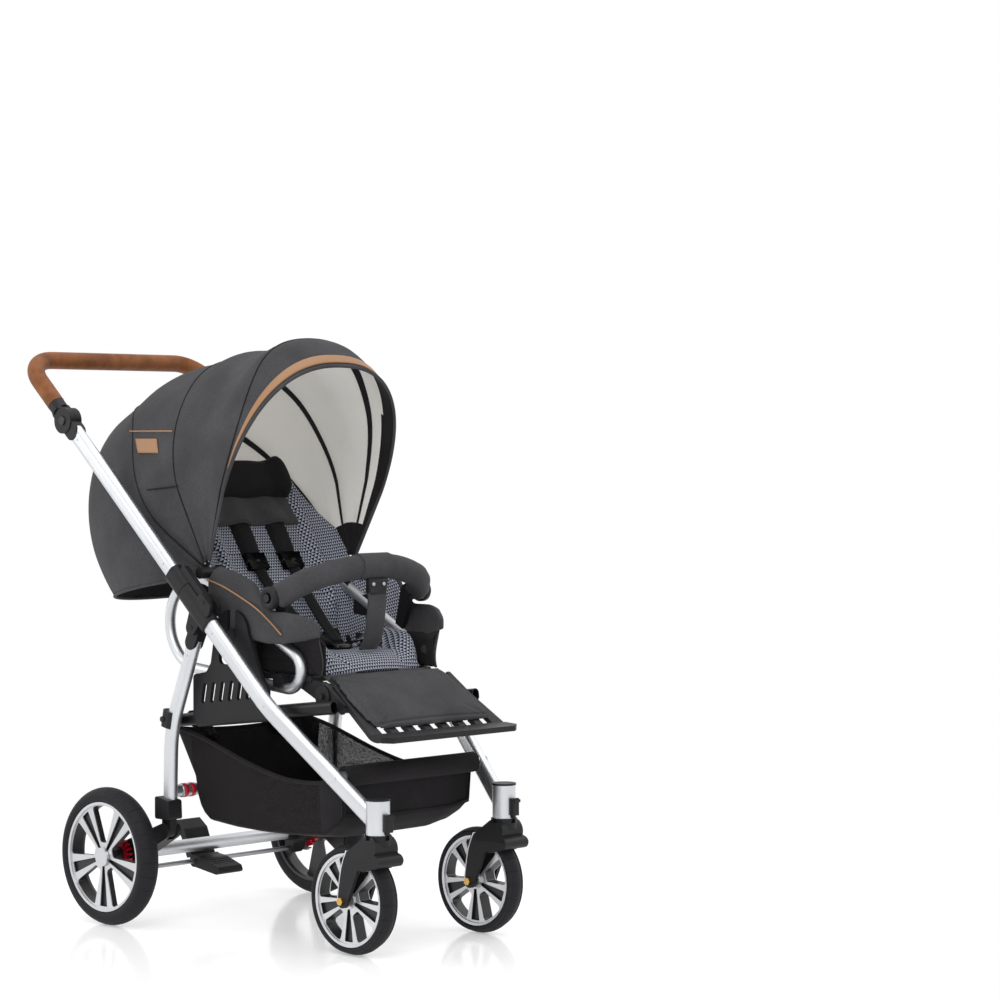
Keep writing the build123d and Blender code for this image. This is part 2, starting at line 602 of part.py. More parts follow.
def rear_axle():
    """Swing arms, axle tube and shaft, brake pedal and brake rod with fingers."""
    shape = capsule(SWING_X, SWING_Z, 32, 0, AXLE_Z, 50)
    shape += capsule(0, AXLE_Z, 40, BRAKE_ROD_X, BRAKE_ROD_Z, BRAKE_ROD_D + 12)
    arm = slab(shape, -ARM_Y1, -ARM_Y0)
    arm -= disc(BRAKE_ROD_X, BRAKE_ROD_Z, BRAKE_ROD_D + 2 * RUN, -ARM_Y1 - 1, -ARM_Y0 + 1)
    window = capsule(88, 181, 14, 44, 161, 18)
    arm -= slab(window, -ARM_Y1 - 1, -ARM_Y1 + 6)
    arm -= slab(window, -ARM_Y0 - 6, -ARM_Y0 + 1)
    slot = capsule(SWING_X, SWING_Z, 36, SWING_X + 10, 250, 60)
    arm -= slab(slot, -REAR_Y - 15, -REAR_Y + 3)
    arm += disc(SWING_X, SWING_Z, PIN_D - 2 * RUN, -ARM_Y1, -ARM_Y0)
    arm += disc(0, AXLE_Z, 34, -ARM_Y0, -ARM_Y0 + 20)
    shaft_len = REAR_TRACK / 2 + 12
    arm -= bar(0, AXLE_Z, AXLE_TUBE_D, ARM_Y0)
    arm -= bar(0, AXLE_Z, AXLE_D, 400)
    keep("swing_arms", pair(arm))
    tube = bar(0, AXLE_Z, AXLE_TUBE_D, ARM_Y0) + bar(0, AXLE_Z, AXLE_D, shaft_len)
    keep("axle_tube", tube)
    rod = bar(BRAKE_ROD_X, BRAKE_ROD_Z, BRAKE_ROD_D, ARM_Y1 + 4)
    tip_x, tip_z = along(-5, FINGER_REACH)
    finger = slab(
        capsule(BRAKE_ROD_X, BRAKE_ROD_Z, 14, BRAKE_ROD_X + tip_x, BRAKE_ROD_Z + tip_z, 8),
        -ARM_Y1 - 5,
        -ARM_Y1 - 0.6,
    )
    ring_y = REAR_TRACK / 2 - (REAR_TYRE_W - 4) / 2 - 2
    finger += disc(BRAKE_ROD_X + tip_x, BRAKE_ROD_Z + tip_z, FINGER_D, -ring_y + 1, -ARM_Y1 - 1)
    keep("brake_rod", rod + finger + other(finger))
    y0 = PEDAL_Y - PEDAL_W / 2
    y1 = PEDAL_Y + PEDAL_W / 2
    body = Pos(BRAKE_ROD_X, BRAKE_ROD_Z) * Circle(13)
    body += outline([(-16, 112), (-34, 108), (-52, 150), (-80, 176), (-70, 186), (-44, 168), (-30, 136)], 4)
    body += outline([(-12, 116), (20, 112), (66, 98), (72, 86), (60, 82), (-12, 92)], 4)
    pedal = slab(body, y0, y1)
    for step in range(5):
        pedal -= Pos(66 - step * 9, PEDAL_Y, 101 + step * 2.2) * Rot(0, 15, 0) * Box(3, PEDAL_W - 12, 5)
    pedal -= bar(BRAKE_ROD_X, BRAKE_ROD_Z, BRAKE_ROD_D, 300)
    keep("brake_pedal", pedal)


def hoop_path():
    """Centre line of a seat hoop: a large arc behind, a small arc in front, straight runs between."""
    bx, bz, br = HOOP_BACK
    fx, fz, fr = HOOP_FRONT
    tilt = degrees(atan2(fz - bz, fx - bx))
    swing = degrees(acos_of((br - fr) / hypot(fx - bx, fz - bz)))
    up = tilt + swing
    down = tilt - swing
    top_back = (bx + along(up, br)[0], bz + along(up, br)[1])
    top_front = (fx + along(up, fr)[0], fz + along(up, fr)[1])
    low_front = (fx + along(down, fr)[0], fz + along(down, fr)[1])
    low_back = (bx + along(down, br)[0], bz + along(down, br)[1])
    rear = (bx + along(tilt + 180, br)[0], bz + along(tilt + 180, br)[1])
    front = (fx + along(tilt, fr)[0], fz + along(tilt, fr)[1])
    return (
        Line(low_back, low_front)
        + ThreePointArc(low_front, front, top_front)
        + Line(top_front, top_back)
        + ThreePointArc(top_back, rear, low_back)
    )


def acos_of(value):
    """Angle in radians with this cosine."""
    return atan2((1 - value * value) ** 0.5, value)


def hoop(extra=0.0):
    """Right-hand seat hoop."""
    path = side_plane(-HOOP_Y) * Wire(hoop_path().edges())
    start = Plane(origin=path @ 0, x_dir=(0, 1, 0), z_dir=path % 0)
    return sweep(start * Circle(HOOP_D / 2 + extra), path=path)


def seat():
    """Hoops, board, studs, side walls, pad, belt and buckle button."""
    right = hoop()
    keep("seat_hoops", pair(right))
    board_rear = BACK_X - 14
    board = slab(
        outline([(board_rear, 514), (board_rear, BOARD_TOP), (476, BOARD_TOP), (476, 514)], 4), -BOARD_HALF, 0
    )
    for x in range(290, 470, 32):
        board -= Pos(x, -BOARD_HALF / 2, 516) * Box(16, 0.6 * BOARD_HALF, 8)
    for x in (270, 400):
        board += Pos(x, -HOOP_Y, 514) * Box(26, 30, 24)
    web = outline([(252, 500), (246, 660), (300, 668), (330, 640), (326, 500)], 8)
    board += slab(web, -HOOP_Y - 6, -HOOP_Y + 6)
    board += disc(SEAT_X, SEAT_Z, STUD_D, -PLATE_Y0 - PLATE_T - 1, -HOOP_Y)
    bracket = outline([(188, 688), (190, 726), (198, 734), (212, 734), (222, 726), (236, 672)], 5)
    board += slab(bracket, -HOOP_Y + 1, -HOOP_Y + 9)
    board += disc(CANOPY_X, CANOPY_Z, PIVOT_D - 2 * RUN, -CANOPY_HALF - 2, -HOOP_Y + 9)
    stay = capsule(380, 592, 22, BUMPER_X, BUMPER_Z, 30)
    board += slab(stay, -HOOP_Y - 3, -HOOP_Y + 7)
    board += disc(BUMPER_X, BUMPER_Z, 36, -BUMPER_Y, -HOOP_Y)
    board += disc(BUMPER_X, BUMPER_Z, 16 - 2 * RUN, -BUMPER_Y - 9, -HOOP_Y)
    joint = capsule(FOOT_X, FOOT_HINGE_Z, 44, 440, 514, 22)
    board += slab(joint, -HOOP_Y + 8, -HOOP_Y + 20)
    board += disc(FOOT_X, FOOT_HINGE_Z, 12 - 2 * RUN, -HOOP_Y - 12, -HOOP_Y + 10)
    board += disc(BACK_X, BACK_Z - 8, 10 - 2 * RUN, -HOOP_Y + 4, -HOOP_Y + 22)
    lug = outline(
        [(BACK_X - 12, 520), (BACK_X - 10, BACK_Z + 2), (BACK_X + 10, BACK_Z + 2), (BACK_X + 12, 520)], 5
    )
    board += slab(lug, -HOOP_Y + 4, -HOOP_Y + 12)
    board -= right
    half = [*board.solids(), *other(board).solids()]
    frame = half[0]
    for piece in half[1:]:
        frame += piece
    keep("seat_frame", frame)

    wall = outline(
        [(214, 700), (236, 736), (300, 722), (362, 696), (392, 650), (470, 640), (500, 612), (506, 588),
         (492, 556), (462, 566), (420, 600), (330, 596), (262, 590), (228, 640)], 9
    )
    cloth = slab(wall, -WALL_Y - WALL_T, -WALL_Y)
    cloth -= disc(SEAT_X, SEAT_Z, STUD_D + 2, -300, 0)
    cloth -= disc(BUMPER_X, BUMPER_Z, 44, -300, 0)
    cloth -= disc(CANOPY_X, CANOPY_Z, 84, -300, 0)
    keep("seat_walls", pair(cloth))

    pad_rear = BACK_X + 6
    crown = Spline((pad_rear, 552), (340, 562), (430, 566), (PAD_FRONT - 12, 556))
    sides = Polyline(
        (PAD_FRONT - 12, 556), (PAD_FRONT, 540), (PAD_FRONT - 8, 516), (480, 512), (480, BOARD_TOP),
        (pad_rear, BOARD_TOP), (pad_rear, 552)
    )
    pad = slab(make_face(crown + sides), -PAD_HALF, PAD_HALF)
    for x in (308, 352, 396, 440):
        pad -= bar(x, 569, 8, HOOP_Y)
    corner = Plane.XY.offset(490) * (
        Pos(400, 0) * Rectangle(400, 400)
        - Pos((pad_rear + PAD_FRONT) / 2, 0)
        * RectangleRounded(PAD_FRONT - pad_rear + 2, 2 * PAD_HALF + 2, 46)
    )
    pad -= extrude(corner, amount=120)
    keep("seat_pad", pad)

    belt = Pos(BUCKLE_X, 0, BUCKLE_Z) * Box(26, 2 * PAD_HALF - 34, 7)
    belt += Pos(BUCKLE_X, 0, BUCKLE_Z + 5) * Box(54, 46, 14)
    belt -= Pos(BUCKLE_X, 0, BUCKLE_Z + 9) * Cylinder(BUCKLE_BUTTON_D / 2 + GAP, 12)
    keep("harness_belt", belt - pad)
    keep("buckle_button", Pos(BUCKLE_X, 0, BUCKLE_Z + 11) * Cylinder(BUCKLE_BUTTON_D / 2, 5))


def backrest():
    """Board, padded cover with wings and shoulder straps, in the plane of the backrest."""
    plane = Plane(
        origin=(BACK_X, 0, BACK_Z), x_dir=(*_up(BACK_SLOPE),), z_dir=(*_up(BACK_SLOPE - 90),)
    )
    board = Pos(BACK_LEN / 2 + 4, 0, -7) * extrude(RectangleRounded(BACK_LEN, BACK_W - 10, 30), amount=6)
    for step in range(5):
        board -= Pos(90 + step * 70, 0, -4) * Box(24, 150, 20)
    for side in (-1, 1):
        board += Pos(14, side * (BACK_W / 2 + 7), -6) * Box(44, 9, 20)
        board += Pos(30, side * (BACK_W / 2), -6) * Box(14, 20, 8)
    hinge_x, hinge_z = to_plane(plane, BACK_X, BACK_Z - 8)
    for side in (-1, 1):
        board -= Pos(hinge_x, side * 156, hinge_z) * Rot(90, 0, 0) * Cylinder(5, 40)
    keep("backrest_board", plane * board)
    cover = RectangleRounded(BACK_LEN - 26, BACK_W - 8, 44)
    pad = Pos(BACK_LEN / 2 + 26, 0, 0) * extrude(cover, amount=BACK_PAD)
    pad = fillet(pad.faces().sort_by(Axis.Z)[-1].edges(), 10)
    for side in (-1, 1):
        wing = Pos(BACK_LEN / 2 + 40, side * (BACK_W / 2 - 16), 34) * Box(BACK_LEN - 130, 26, 66)
        pad += fillet(wing.edges(), 11)
    for step in range(3):
        groove = Pos(120 + step * 100, 0, BACK_PAD + 3) * Rot(90, 0, 0) * Cylinder(5, BACK_W - 70)
        pad -= groove
    keep("backrest_pad", plane * pad)
    straps = []
    for side in (-1, 1):
        web = Pos(210, side * 48, BACK_PAD) * extrude(RectangleRounded(270, 38, 6), amount=3)
        cover = Pos(262, side * 48, BACK_PAD) * extrude(RectangleRounded(150, 52, 20), amount=14)
        adjuster = Pos(128, side * 48, BACK_PAD + 5) * Box(26, 46, 10)
        straps.extend((web + cover + adjuster).solids())
    keep("shoulder_straps", plane * Compound(straps))


def _up(angle):
    """Direction in the side plane as a vector."""
    dx, dz = along(angle)
    return dx, 0, dz


def to_plane(plane, x, z):
    """Side-plane point in the coordinates of a tilted plane."""
    local = plane.to_local_coords(Vector(x, 0, z))
    return local.X, local.Z


def footrest():
    """Slotted board with an upturned lip and side arms, and its padded cover."""
    plane = Plane(origin=(FOOT_X, 0, FOOT_HINGE_Z), x_dir=(*_up(FOOT_SLOPE),), z_dir=(*_up(FOOT_SLOPE + 90),))
    half = FOOT_W / 2
    board = Pos(0, 0, 16) * extrude(
        outline([(-26, -half + 24), (FOOT_LEN, -half), (FOOT_LEN, half), (-26, half - 24)], 14), amount=10
    )
    for number in range(7):
        board -= Pos(FOOT_LEN - 28, (number - 3) * 46, 20) * Box(26, 26, 30)
    board -= Pos(60, 0, 14) * Box(140, 2 * half - 70, 12)
    lip_plane = Plane(origin=(FOOT_LEN - 8, 0, 17), x_dir=(cos(radians(30)), 0, sin(radians(30))),
                      z_dir=(-sin(radians(30)), 0, cos(radians(30))))
    lip = extrude(outline([(0, -half), (LIP_LEN - 14, -half - 2), (LIP_LEN, -half + 16), (LIP_LEN, half - 16),
                           (LIP_LEN - 14, half + 2), (0, half)], 5), amount=11)
    board += lip_plane * lip
    for side in (-1, 1):
        board += Pos(0, side * (HOOP_Y + 1), 0) * Rot(90, 0, 0) * Cylinder(20, 12)
        board += Pos(22, side * (HOOP_Y - 1), 12) * Box(76, 10, 22)
        board -= Pos(0, side * (HOOP_Y - 17), 0) * Rot(90, 0, 0) * Cylinder(23, 21)
        board -= Pos(-18, side * (HOOP_Y - 15), 10) * Box(40, 17, 60)
        board -= Pos(0, side * HOOP_Y, 0) * Rot(90, 0, 0) * Cylinder(6, 60)
    keep("footrest_frame", plane * board)
    end = FOOT_LEN - 48
    cover = outline([(-20, -half + 34), (end, -half + 26), (end, half - 26), (-20, half - 34)], 30)
    pad = Pos(0, 0, 26) * extrude(cover, amount=13)
    pad = fillet(pad.faces().sort_by(Axis.Z)[-1].edges(), 6)
    keep("footrest_pad", plane * pad)


def bumper():
    """Padded bar on two discs, release buttons and the crotch strap."""
    y = BUMPER_Y + 1
    corner = BUMPER_REACH - 24
    points = [
        (BUMPER_X + 24, -y, BUMPER_Z + 3),
        (BUMPER_X + corner, -y + 8, BUMPER_Z + 20),
        (BUMPER_X + BUMPER_REACH, -60, BUMPER_Z + BUMPER_RISE),
        (BUMPER_X + BUMPER_REACH, 60, BUMPER_Z + BUMPER_RISE),
        (BUMPER_X + corner, y - 8, BUMPER_Z + 20),
        (BUMPER_X + 24, y, BUMPER_Z + 3),
    ]
    path = FilletPolyline(*points, radius=54)
    bar_body = swept(Circle(BUMPER_D / 2 - 3), path)
    inner = BUMPER_Y + GAP
    end = disc(BUMPER_X, BUMPER_Z, 46, -inner - 16, -inner)
    end += slab(capsule(BUMPER_X, BUMPER_Z, 36, BUMPER_X + 24, BUMPER_Z + 3, 36), -inner - 16, -inner)
    bore = disc(BUMPER_X, BUMPER_Z, 16, -inner - 10, -inner + 1)
    bore += disc(BUMPER_X, BUMPER_Z, 16 + 2 * GAP, -inner - 30, -inner - 10.5)
    bar_body += end + other(end)
    bar_body -= bore + other(bore)
    keep("bumper_bar", bar_body)
    button = disc(BUMPER_X, BUMPER_Z, 16, -inner - 18, -inner - 14)
    keep_sides("bumper_button", button)
    front_x = BUMPER_X + BUMPER_REACH
    strap = outline(
        [(front_x + 20, 700), (front_x + 26, 690), (front_x - 16, 592), (front_x - 32, 572),
         (front_x - 38, 574), (front_x - 22, 596), (front_x + 12, 680)], 1.5
    )
    web = slab(strap, -22, 22)
    web += Pos(front_x - 2, 0, 640) * Rot(0, 22, 0) * Box(14, 56, 44)
    web += bar(front_x, BUMPER_Z + BUMPER_RISE, BUMPER_D, SLEEVE_HALF)
    keep("crotch_strap", web - bar(front_x, BUMPER_Z + BUMPER_RISE, BUMPER_D - 6, SLEEVE_HALF))


def arch(top, half, foot):
    """Area under a canopy bow: straight legs up to the waist, then half an ellipse."""
    over = EllipticalCenterArc((0, CANOPY_WAIST), half, top - CANOPY_WAIST, start_angle=0, arc_size=180)
    legs = Polyline(
        (-half, CANOPY_WAIST), (-foot, CANOPY_FOOT_R), (foot, CANOPY_FOOT_R), (half, CANOPY_WAIST)
    )
    return make_face(over + legs)


def canopy_panel(first, last, x, z, top, half, foot):
    """Cloth between two bow angles, turned about an axis across the seat."""
    plane = Plane(origin=(x, 0, z), x_dir=(0, 1, 0), z_dir=(sin(radians(first)), 0, -cos(radians(first))))
    skin = CANOPY_SKIN
    band = arch(top, half, foot) - arch(top - skin, half - skin, foot - skin)
    return revolve(plane * band, axis=Axis((x, 0, z), (0, -1, 0)), revolution_arc=last - first)


def canopy():
    """Three panels with flat hubs on the pivots; front and middle turn inside the rear one."""
    a0, a1, a2 = CANOPY_ANGLES
    x, z = CANOPY_X, CANOPY_Z
    half = CANOPY_HALF
    turning = (("canopy_front", a0, a1, FRONT_TOP, 1), ("canopy_mid", a1, a2, MID_TOP, 2))
    for name, first, last, top, step in turning:
        side = half - step * CANOPY_STEP
        foot = side - CANOPY_TAPER
        panel = canopy_panel(first, last, x, z, top, side, foot)
        keep(name, panel + canopy_hubs(*along((first + last) / 2, 50), 26, foot))
    panel = canopy_panel(*REAR_ANGLES, x - REAR_BACK, z - REAR_DROP, REAR_TOP, half, half)
    keep("canopy_rear", panel + canopy_hubs(-REAR_BACK - 54, 24, 34, half))


def canopy_hubs(dx, dz, end_d, y):
    """Flat arms from the pivots to the foot of a panel."""
    arm = capsule(CANOPY_X, CANOPY_Z, PIVOT_D + 18, CANOPY_X + dx, CANOPY_Z + dz, end_d)
    arm -= Pos(CANOPY_X, CANOPY_Z) * Circle(PIVOT_D / 2)
    hub = slab(arm, -y, -y + CANOPY_SKIN)
    return hub + other(hub)


def basket():
    """Open bag hung on the front cross tube and the back of the carrier tube."""
    outer = outline(
        [(112, 392), (196, 214), (340, 204), (520, 222), (ROLL_X, 262), (ROLL_X, 332), (440, 322),
         (250, 350)], 10
    )
    inner = outline(
        [(118, 400), (199, 217.5), (340, 207), (519, 225), (ROLL_X - 3, 264), (ROLL_X - 3, 420), (440, 420),
         (250, 420)], 8
    )
    bag = slab(outer, -BASKET_HALF, BASKET_HALF)
    bag -= slab(inner, -BASKET_HALF + BASKET_SKIN, BASKET_HALF - BASKET_SKIN)
    bag += bar(ROLL_X, ROLL_Z, ROLL_D, BASKET_HALF)
    bag -= bar(ROLL_X, ROLL_Z, CROSS_TUBE_D, 400)
    strap = capsule(CARRIER_BACK, CARRIER_Z0, CARRIER_H + 6, 124, 376, 10)
    for side in (-1, 1):
        loop = slab(strap, side * 90 - 14, side * 90 + 14)
        loop -= slab(inner, -BASKET_HALF, BASKET_HALF)
        bag += loop
    slope = degrees(atan2(CARRIER_RISE, 1))
    tube = Pos(CARRIER_BACK, 0, CARRIER_Z0) * Rot(0, -slope, 0) * extrude(
        Plane.XZ * SlotOverall(CARRIER_H, CARRIER_W, rotation=90), amount=150, both=True
    )
    keep("basket", bag - tube)


wheels()
casters()
front_frame()
push_bar()
handle()
rear_frame()
rear_axle()
seat()
backrest()
footrest()
bumper()
canopy()
basket()

os.makedirs("parts", exist_ok=True)
for name, piece in PARTS.items():
    export_step(piece, f"parts/{name}.step")
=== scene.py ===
"""Four-wheel folding baby stroller with a sport seat, dressed on its CAD frame."""
from math import asin, cos, degrees, pi, radians, sin

import bmesh
import bpy
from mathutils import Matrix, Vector


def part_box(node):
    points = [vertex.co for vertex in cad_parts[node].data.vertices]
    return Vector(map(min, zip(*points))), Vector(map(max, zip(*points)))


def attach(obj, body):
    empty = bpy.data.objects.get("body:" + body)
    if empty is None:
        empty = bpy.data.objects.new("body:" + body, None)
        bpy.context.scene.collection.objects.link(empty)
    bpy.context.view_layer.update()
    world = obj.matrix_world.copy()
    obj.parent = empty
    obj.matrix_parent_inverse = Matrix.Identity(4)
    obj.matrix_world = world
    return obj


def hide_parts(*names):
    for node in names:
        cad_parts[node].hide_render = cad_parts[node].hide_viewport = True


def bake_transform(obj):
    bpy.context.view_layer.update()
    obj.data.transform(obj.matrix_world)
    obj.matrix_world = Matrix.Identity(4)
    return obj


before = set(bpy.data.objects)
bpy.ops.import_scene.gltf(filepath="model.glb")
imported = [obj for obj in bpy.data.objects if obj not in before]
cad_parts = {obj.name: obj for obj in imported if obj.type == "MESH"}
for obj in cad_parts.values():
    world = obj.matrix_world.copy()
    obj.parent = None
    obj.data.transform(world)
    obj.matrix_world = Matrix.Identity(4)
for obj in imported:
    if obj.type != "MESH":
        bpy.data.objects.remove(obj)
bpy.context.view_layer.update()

bl_info = {
    "name": "Baby stroller dressing",
    "version": (1, 0, 0),
    "blender": (4, 5, 0),
    "location": "View3D > Sidebar > Stroller",
    "description": "Finishes and soft goods for a folding baby stroller",
    "category": "Object",
}

SIDES = ((-1, "right"), (1, "left"))
ACROSS = Vector((0, 1, 0))
WHITE = (1, 1, 1, 1)
TYRE_LOW, TYRE_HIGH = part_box("rear_tyre_right")
AXLE_X = (TYRE_LOW.x + TYRE_HIGH.x) / 2
# hinges in mm ahead of the rear axle and above the floor, and how their parts lean at rest
BACK_HINGE = (258, 548)
BACK_SLOPE = radians(122)
FOOT_HINGE = (520, 490)
FOOT_SLOPE = radians(-34)
# half the distance between the shoulder straps in mm
STRAP_Y = 48
# canopy in mm: pivot, radius at its feet and at the waist, where its sides turn into the crown, how far
# the feet lie inside the waist, and the height of the folds in its sides
CANOPY_PIVOT = (205, 720)
CANOPY_FOOT_R = 24
CANOPY_WAIST = 185
CANOPY_FOOT_IN = 20
CANOPY_FOLD = 2.2
# share of the way from the crown to a foot at which the waist lies
WAIST_AT = 0.72
# power of the canopy's section: squarer than an ellipse at the visor, rising to 1 between two bow angles
VISOR_SQUARE = 0.84
VISOR_ENDS = (76, 92)
# bow angle in degrees, radius at the crown and half width in mm
CANOPY_BOWS = (
    (62, 440, 216), (66, 452, 218), (72, 468, 219), (78, 480, 219), (84, 462, 216), (92, 450, 214),
    (100, 455, 215), (109, 454, 216), (118, 474, 214), (128, 498, 215), (138, 520, 216), (148, 559, 214),
    (157, 573, 213), (166, 562, 212), (175, 530, 209), (184, 480, 205), (195, 416, 200), (200, 388, 198),
)
CANOPY_FRONT = 66
CANOPY_REAR = 190
# half a wave of the Wave texture at scale 1, in metres
HALF_WAVE = 0.16
# a Mix node's colour sockets, which share their names with its other sockets
MIX_LOW, MIX_HIGH, MIX_OUT = 6, 7, 2


def linear(code):
    """sRGB hex colour as linear RGBA."""
    parts = [int(code[i:i + 2], 16) / 255 for i in (1, 3, 5)]
    return (*(c / 12.92 if c <= 0.04045 else ((c + 0.055) / 1.055) ** 2.4 for c in parts), 1.0)


def shade(colour, factor):
    """Darker or lighter version of a linear colour."""
    return (*(min(1, c * factor) for c in colour[:3]), 1)


def at(x, y, z):
    """Point from millimetres ahead of the rear axle, to the child's left and above the floor."""
    return Vector((AXLE_X + x / 1000, y / 1000, z / 1000))


def back(h, y, n):
    """Point on the backrest: up along it, across, and out from its board."""
    x = BACK_HINGE[0] + cos(BACK_SLOPE) * h + sin(BACK_SLOPE) * n
    return at(x, y, BACK_HINGE[1] + sin(BACK_SLOPE) * h - cos(BACK_SLOPE) * n)


def foot(d, y, n):
    """Point on the footrest: down along it from the hinge, across, and up from the hinge."""
    x = FOOT_HINGE[0] + cos(FOOT_SLOPE) * d - sin(FOOT_SLOPE) * n
    return at(x, y, FOOT_HINGE[1] + sin(FOOT_SLOPE) * d + cos(FOOT_SLOPE) * n)


def ease(low, high, value):
    """Smooth step from 0 at low to 1 at high."""
    t = min(1, max(0, (value - low) / (high - low)))
    return t * t * (3 - 2 * t)


def groove(distance, half):
    """1 on a sewn line, falling to 0 at half its width."""
    return max(0, 1 - distance / half)


def dome(x, y, along, over):
    """Height of a pad from 0 at its edges to 1; higher powers make it flatter."""
    return ((1 - x ** along) * (1 - y ** over)) ** 0.5


def follow(table, value):
    """Smooth value between the rows of a table sorted by their first number."""
    place = max(1, min(len(table) - 3, sum(1 for row in table if row[0] <= value) - 1))
    a, b, c, d = (table[place + step] for step in (-1, 0, 1, 2))
    t = (value - b[0]) / (c[0] - b[0])
    out = []
    for k in range(1, len(b)):
        slope_b = (c[k] - a[k]) / (c[0] - a[0]) * (c[0] - b[0])
        slope_c = (d[k] - b[k]) / (d[0] - b[0]) * (c[0] - b[0])
        out.append(
            b[k] * (2 * t ** 3 - 3 * t ** 2 + 1) + slope_b * (t ** 3 - 2 * t ** 2 + t)
            + c[k] * (3 * t ** 2 - 2 * t ** 3) + slope_c * (t ** 3 - t ** 2)
        )
    return out


def between(points, value):
    """Straight-line value between (place, value) pairs."""
    for (x0, z0), (x1, z1) in zip(points, points[1:]):
        if value <= x1:
            return z0 + (z1 - z0) * max(0, value - x0) / (x1 - x0)
    return points[-1][1]


def per(size):
    """Texture scale of a pattern whose features are so many millimetres wide."""
    return 1000 / size


def add(tree, kind, inputs=(), **settings):
    """Add a node, set its properties, and set or link the inputs named."""
    node = tree.nodes.new(kind)
    for key, value in settings.items():
        setattr(node, key, value)
    for socket, value in dict(inputs).items():
        if isinstance(value, bpy.types.NodeSocket):
            tree.links.new(value, node.inputs[socket])
        else:
            node.inputs[socket].default_value = value
    return node


def begin(name, **values):
    """New material with values set on its shader; returns tree, shader and Object coordinates."""
    material = bpy.data.materials.new(name)
    material.use_nodes = True
    tree = material.node_tree
    shader = tree.nodes["Principled BSDF"]
    for key, value in values.items():
        shader.inputs[key.replace("_", " ")].default_value = value
    return tree, shader, add(tree, "ShaderNodeTexCoord").outputs["Object"]


def feed(tree, shader, **links):
    """Link sockets to the shader's inputs of those names."""
    for key, socket in links.items():
        tree.links.new(socket, shader.inputs[key.replace("_", " ")])


def relief(tree, shader, height, distance, strength=1.0):
    """Raise the surface by a height pattern; distance is in metres."""
    bump = add(tree, "ShaderNodeBump", {"Height": height, "Distance": distance, "Strength": strength})
    feed(tree, shader, Normal=bump.outputs["Normal"])


def settle(obj):
    """Apply an object's modifiers to its mesh."""
    graph = bpy.context.evaluated_depsgraph_get()
    mesh = bpy.data.meshes.new_from_object(obj.evaluated_get(graph))
    obj.modifiers.clear()
    old = obj.data
    obj.data = mesh
    bpy.data.meshes.remove(old)
    for face in mesh.polygons:
        face.use_smooth = True


def piece(name, mesh, finishes, body=None):
    """Object from a mesh, with its finishes, riding on a body."""
    obj = bpy.data.objects.new(name, mesh)
    bpy.context.scene.collection.objects.link(obj)
    for finish in finishes:
        mesh.materials.append(bpy.data.materials[finish])
    for face in mesh.polygons:
        face.use_smooth = True
    if body:
        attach(obj, body)
    return obj


def meshed(bm, name, merge=False, outwards=False):
    """Mesh from a bmesh, if asked with its doubles merged and its faces turned outwards."""
    if merge:
        bmesh.ops.remove_doubles(bm, verts=bm.verts[:], dist=0.00001)
    if outwards:
        bmesh.ops.recalc_face_normals(bm, faces=bm.faces[:])
    mesh = bpy.data.meshes.new(name)
    bm.to_mesh(mesh)
    bm.free()
    return mesh


def grid(name, columns, rows, place, finish_at=None, away=None):
    """Sheet with its points where place(u, v) says, u and v from 0 to 1.

    finish_at(u, v) picks a face's finish, and the front of the sheet looks away from a point.
    """
    bm = bmesh.new()
    bm.loops.layers.uv.new("UVMap")
    bmesh.ops.create_grid(bm, x_segments=columns, y_segments=rows, size=0.5, calc_uvs=True)
    if finish_at:
        for face in bm.faces:
            middle = face.calc_center_median()
            face.material_index = finish_at(middle.x + 0.5, middle.y + 0.5)
    for vert in bm.verts:
        vert.co = place(vert.co.x + 0.5, vert.co.y + 0.5)
    bm.normal_update()
    if away and sum(face.normal.dot(face.calc_center_median() - away) for face in bm.faces) < 0:
        bmesh.ops.reverse_faces(bm, faces=bm.faces[:])
    return meshed(bm, name)


def cushion(name, columns, rows, place):
    """Closed pad: place(x, y, side) puts a point of its upper face (side 1) or lower face (side 0)."""
    bm = bmesh.new()
    bmesh.ops.create_grid(bm, x_segments=columns, y_segments=rows, size=1.0)
    raised = bmesh.ops.extrude_face_region(bm, geom=bm.faces[:])["geom"]
    upper = {item for item in raised if isinstance(item, bmesh.types.BMVert)}
    for vert in bm.verts:
        vert.co = place(vert.co.x, vert.co.y, 1 if vert in upper else 0)
    return meshed(bm, name, outwards=True)


def turned(name, centre, side, profile, steps, closed=False):
    """Shape turned about an axis across the stroller, from (radius, distance outwards) pairs."""
    bm = bmesh.new()
    verts = [bm.verts.new(centre + Vector((radius, side * depth, 0))) for radius, depth in profile]
    following = verts[1:] + verts[:1] if closed else verts[1:]
    edges = [bm.edges.new(ends) for ends in zip(verts, following)]
    bmesh.ops.spin(
        bm, geom=verts + edges, cent=centre, axis=ACROSS, angle=2 * pi, steps=steps, use_merge=True)
    return meshed(bm, name, merge=True, outwards=True)


def block(place, corner):
    """Cube of size 1 whose points go where place says, with rounded edges."""
    bm = bmesh.new()
    bmesh.ops.create_cube(bm, size=1.0)
    for vert in bm.verts:
        vert.co = place(vert.co)
    bmesh.ops.bevel(
        bm, geom=bm.edges[:], offset=corner, affect="EDGES", segments=3, profile=0.5, material=-1)
    bm.normal_update()
    return bm


def rounded(x, y, amount):
    """Square coordinates pulled in at the corners; 1 makes the square a disc."""
    return x * (1 - amount * y * y / 2) ** 0.5, y * (1 - amount * x * x / 2) ** 0.5


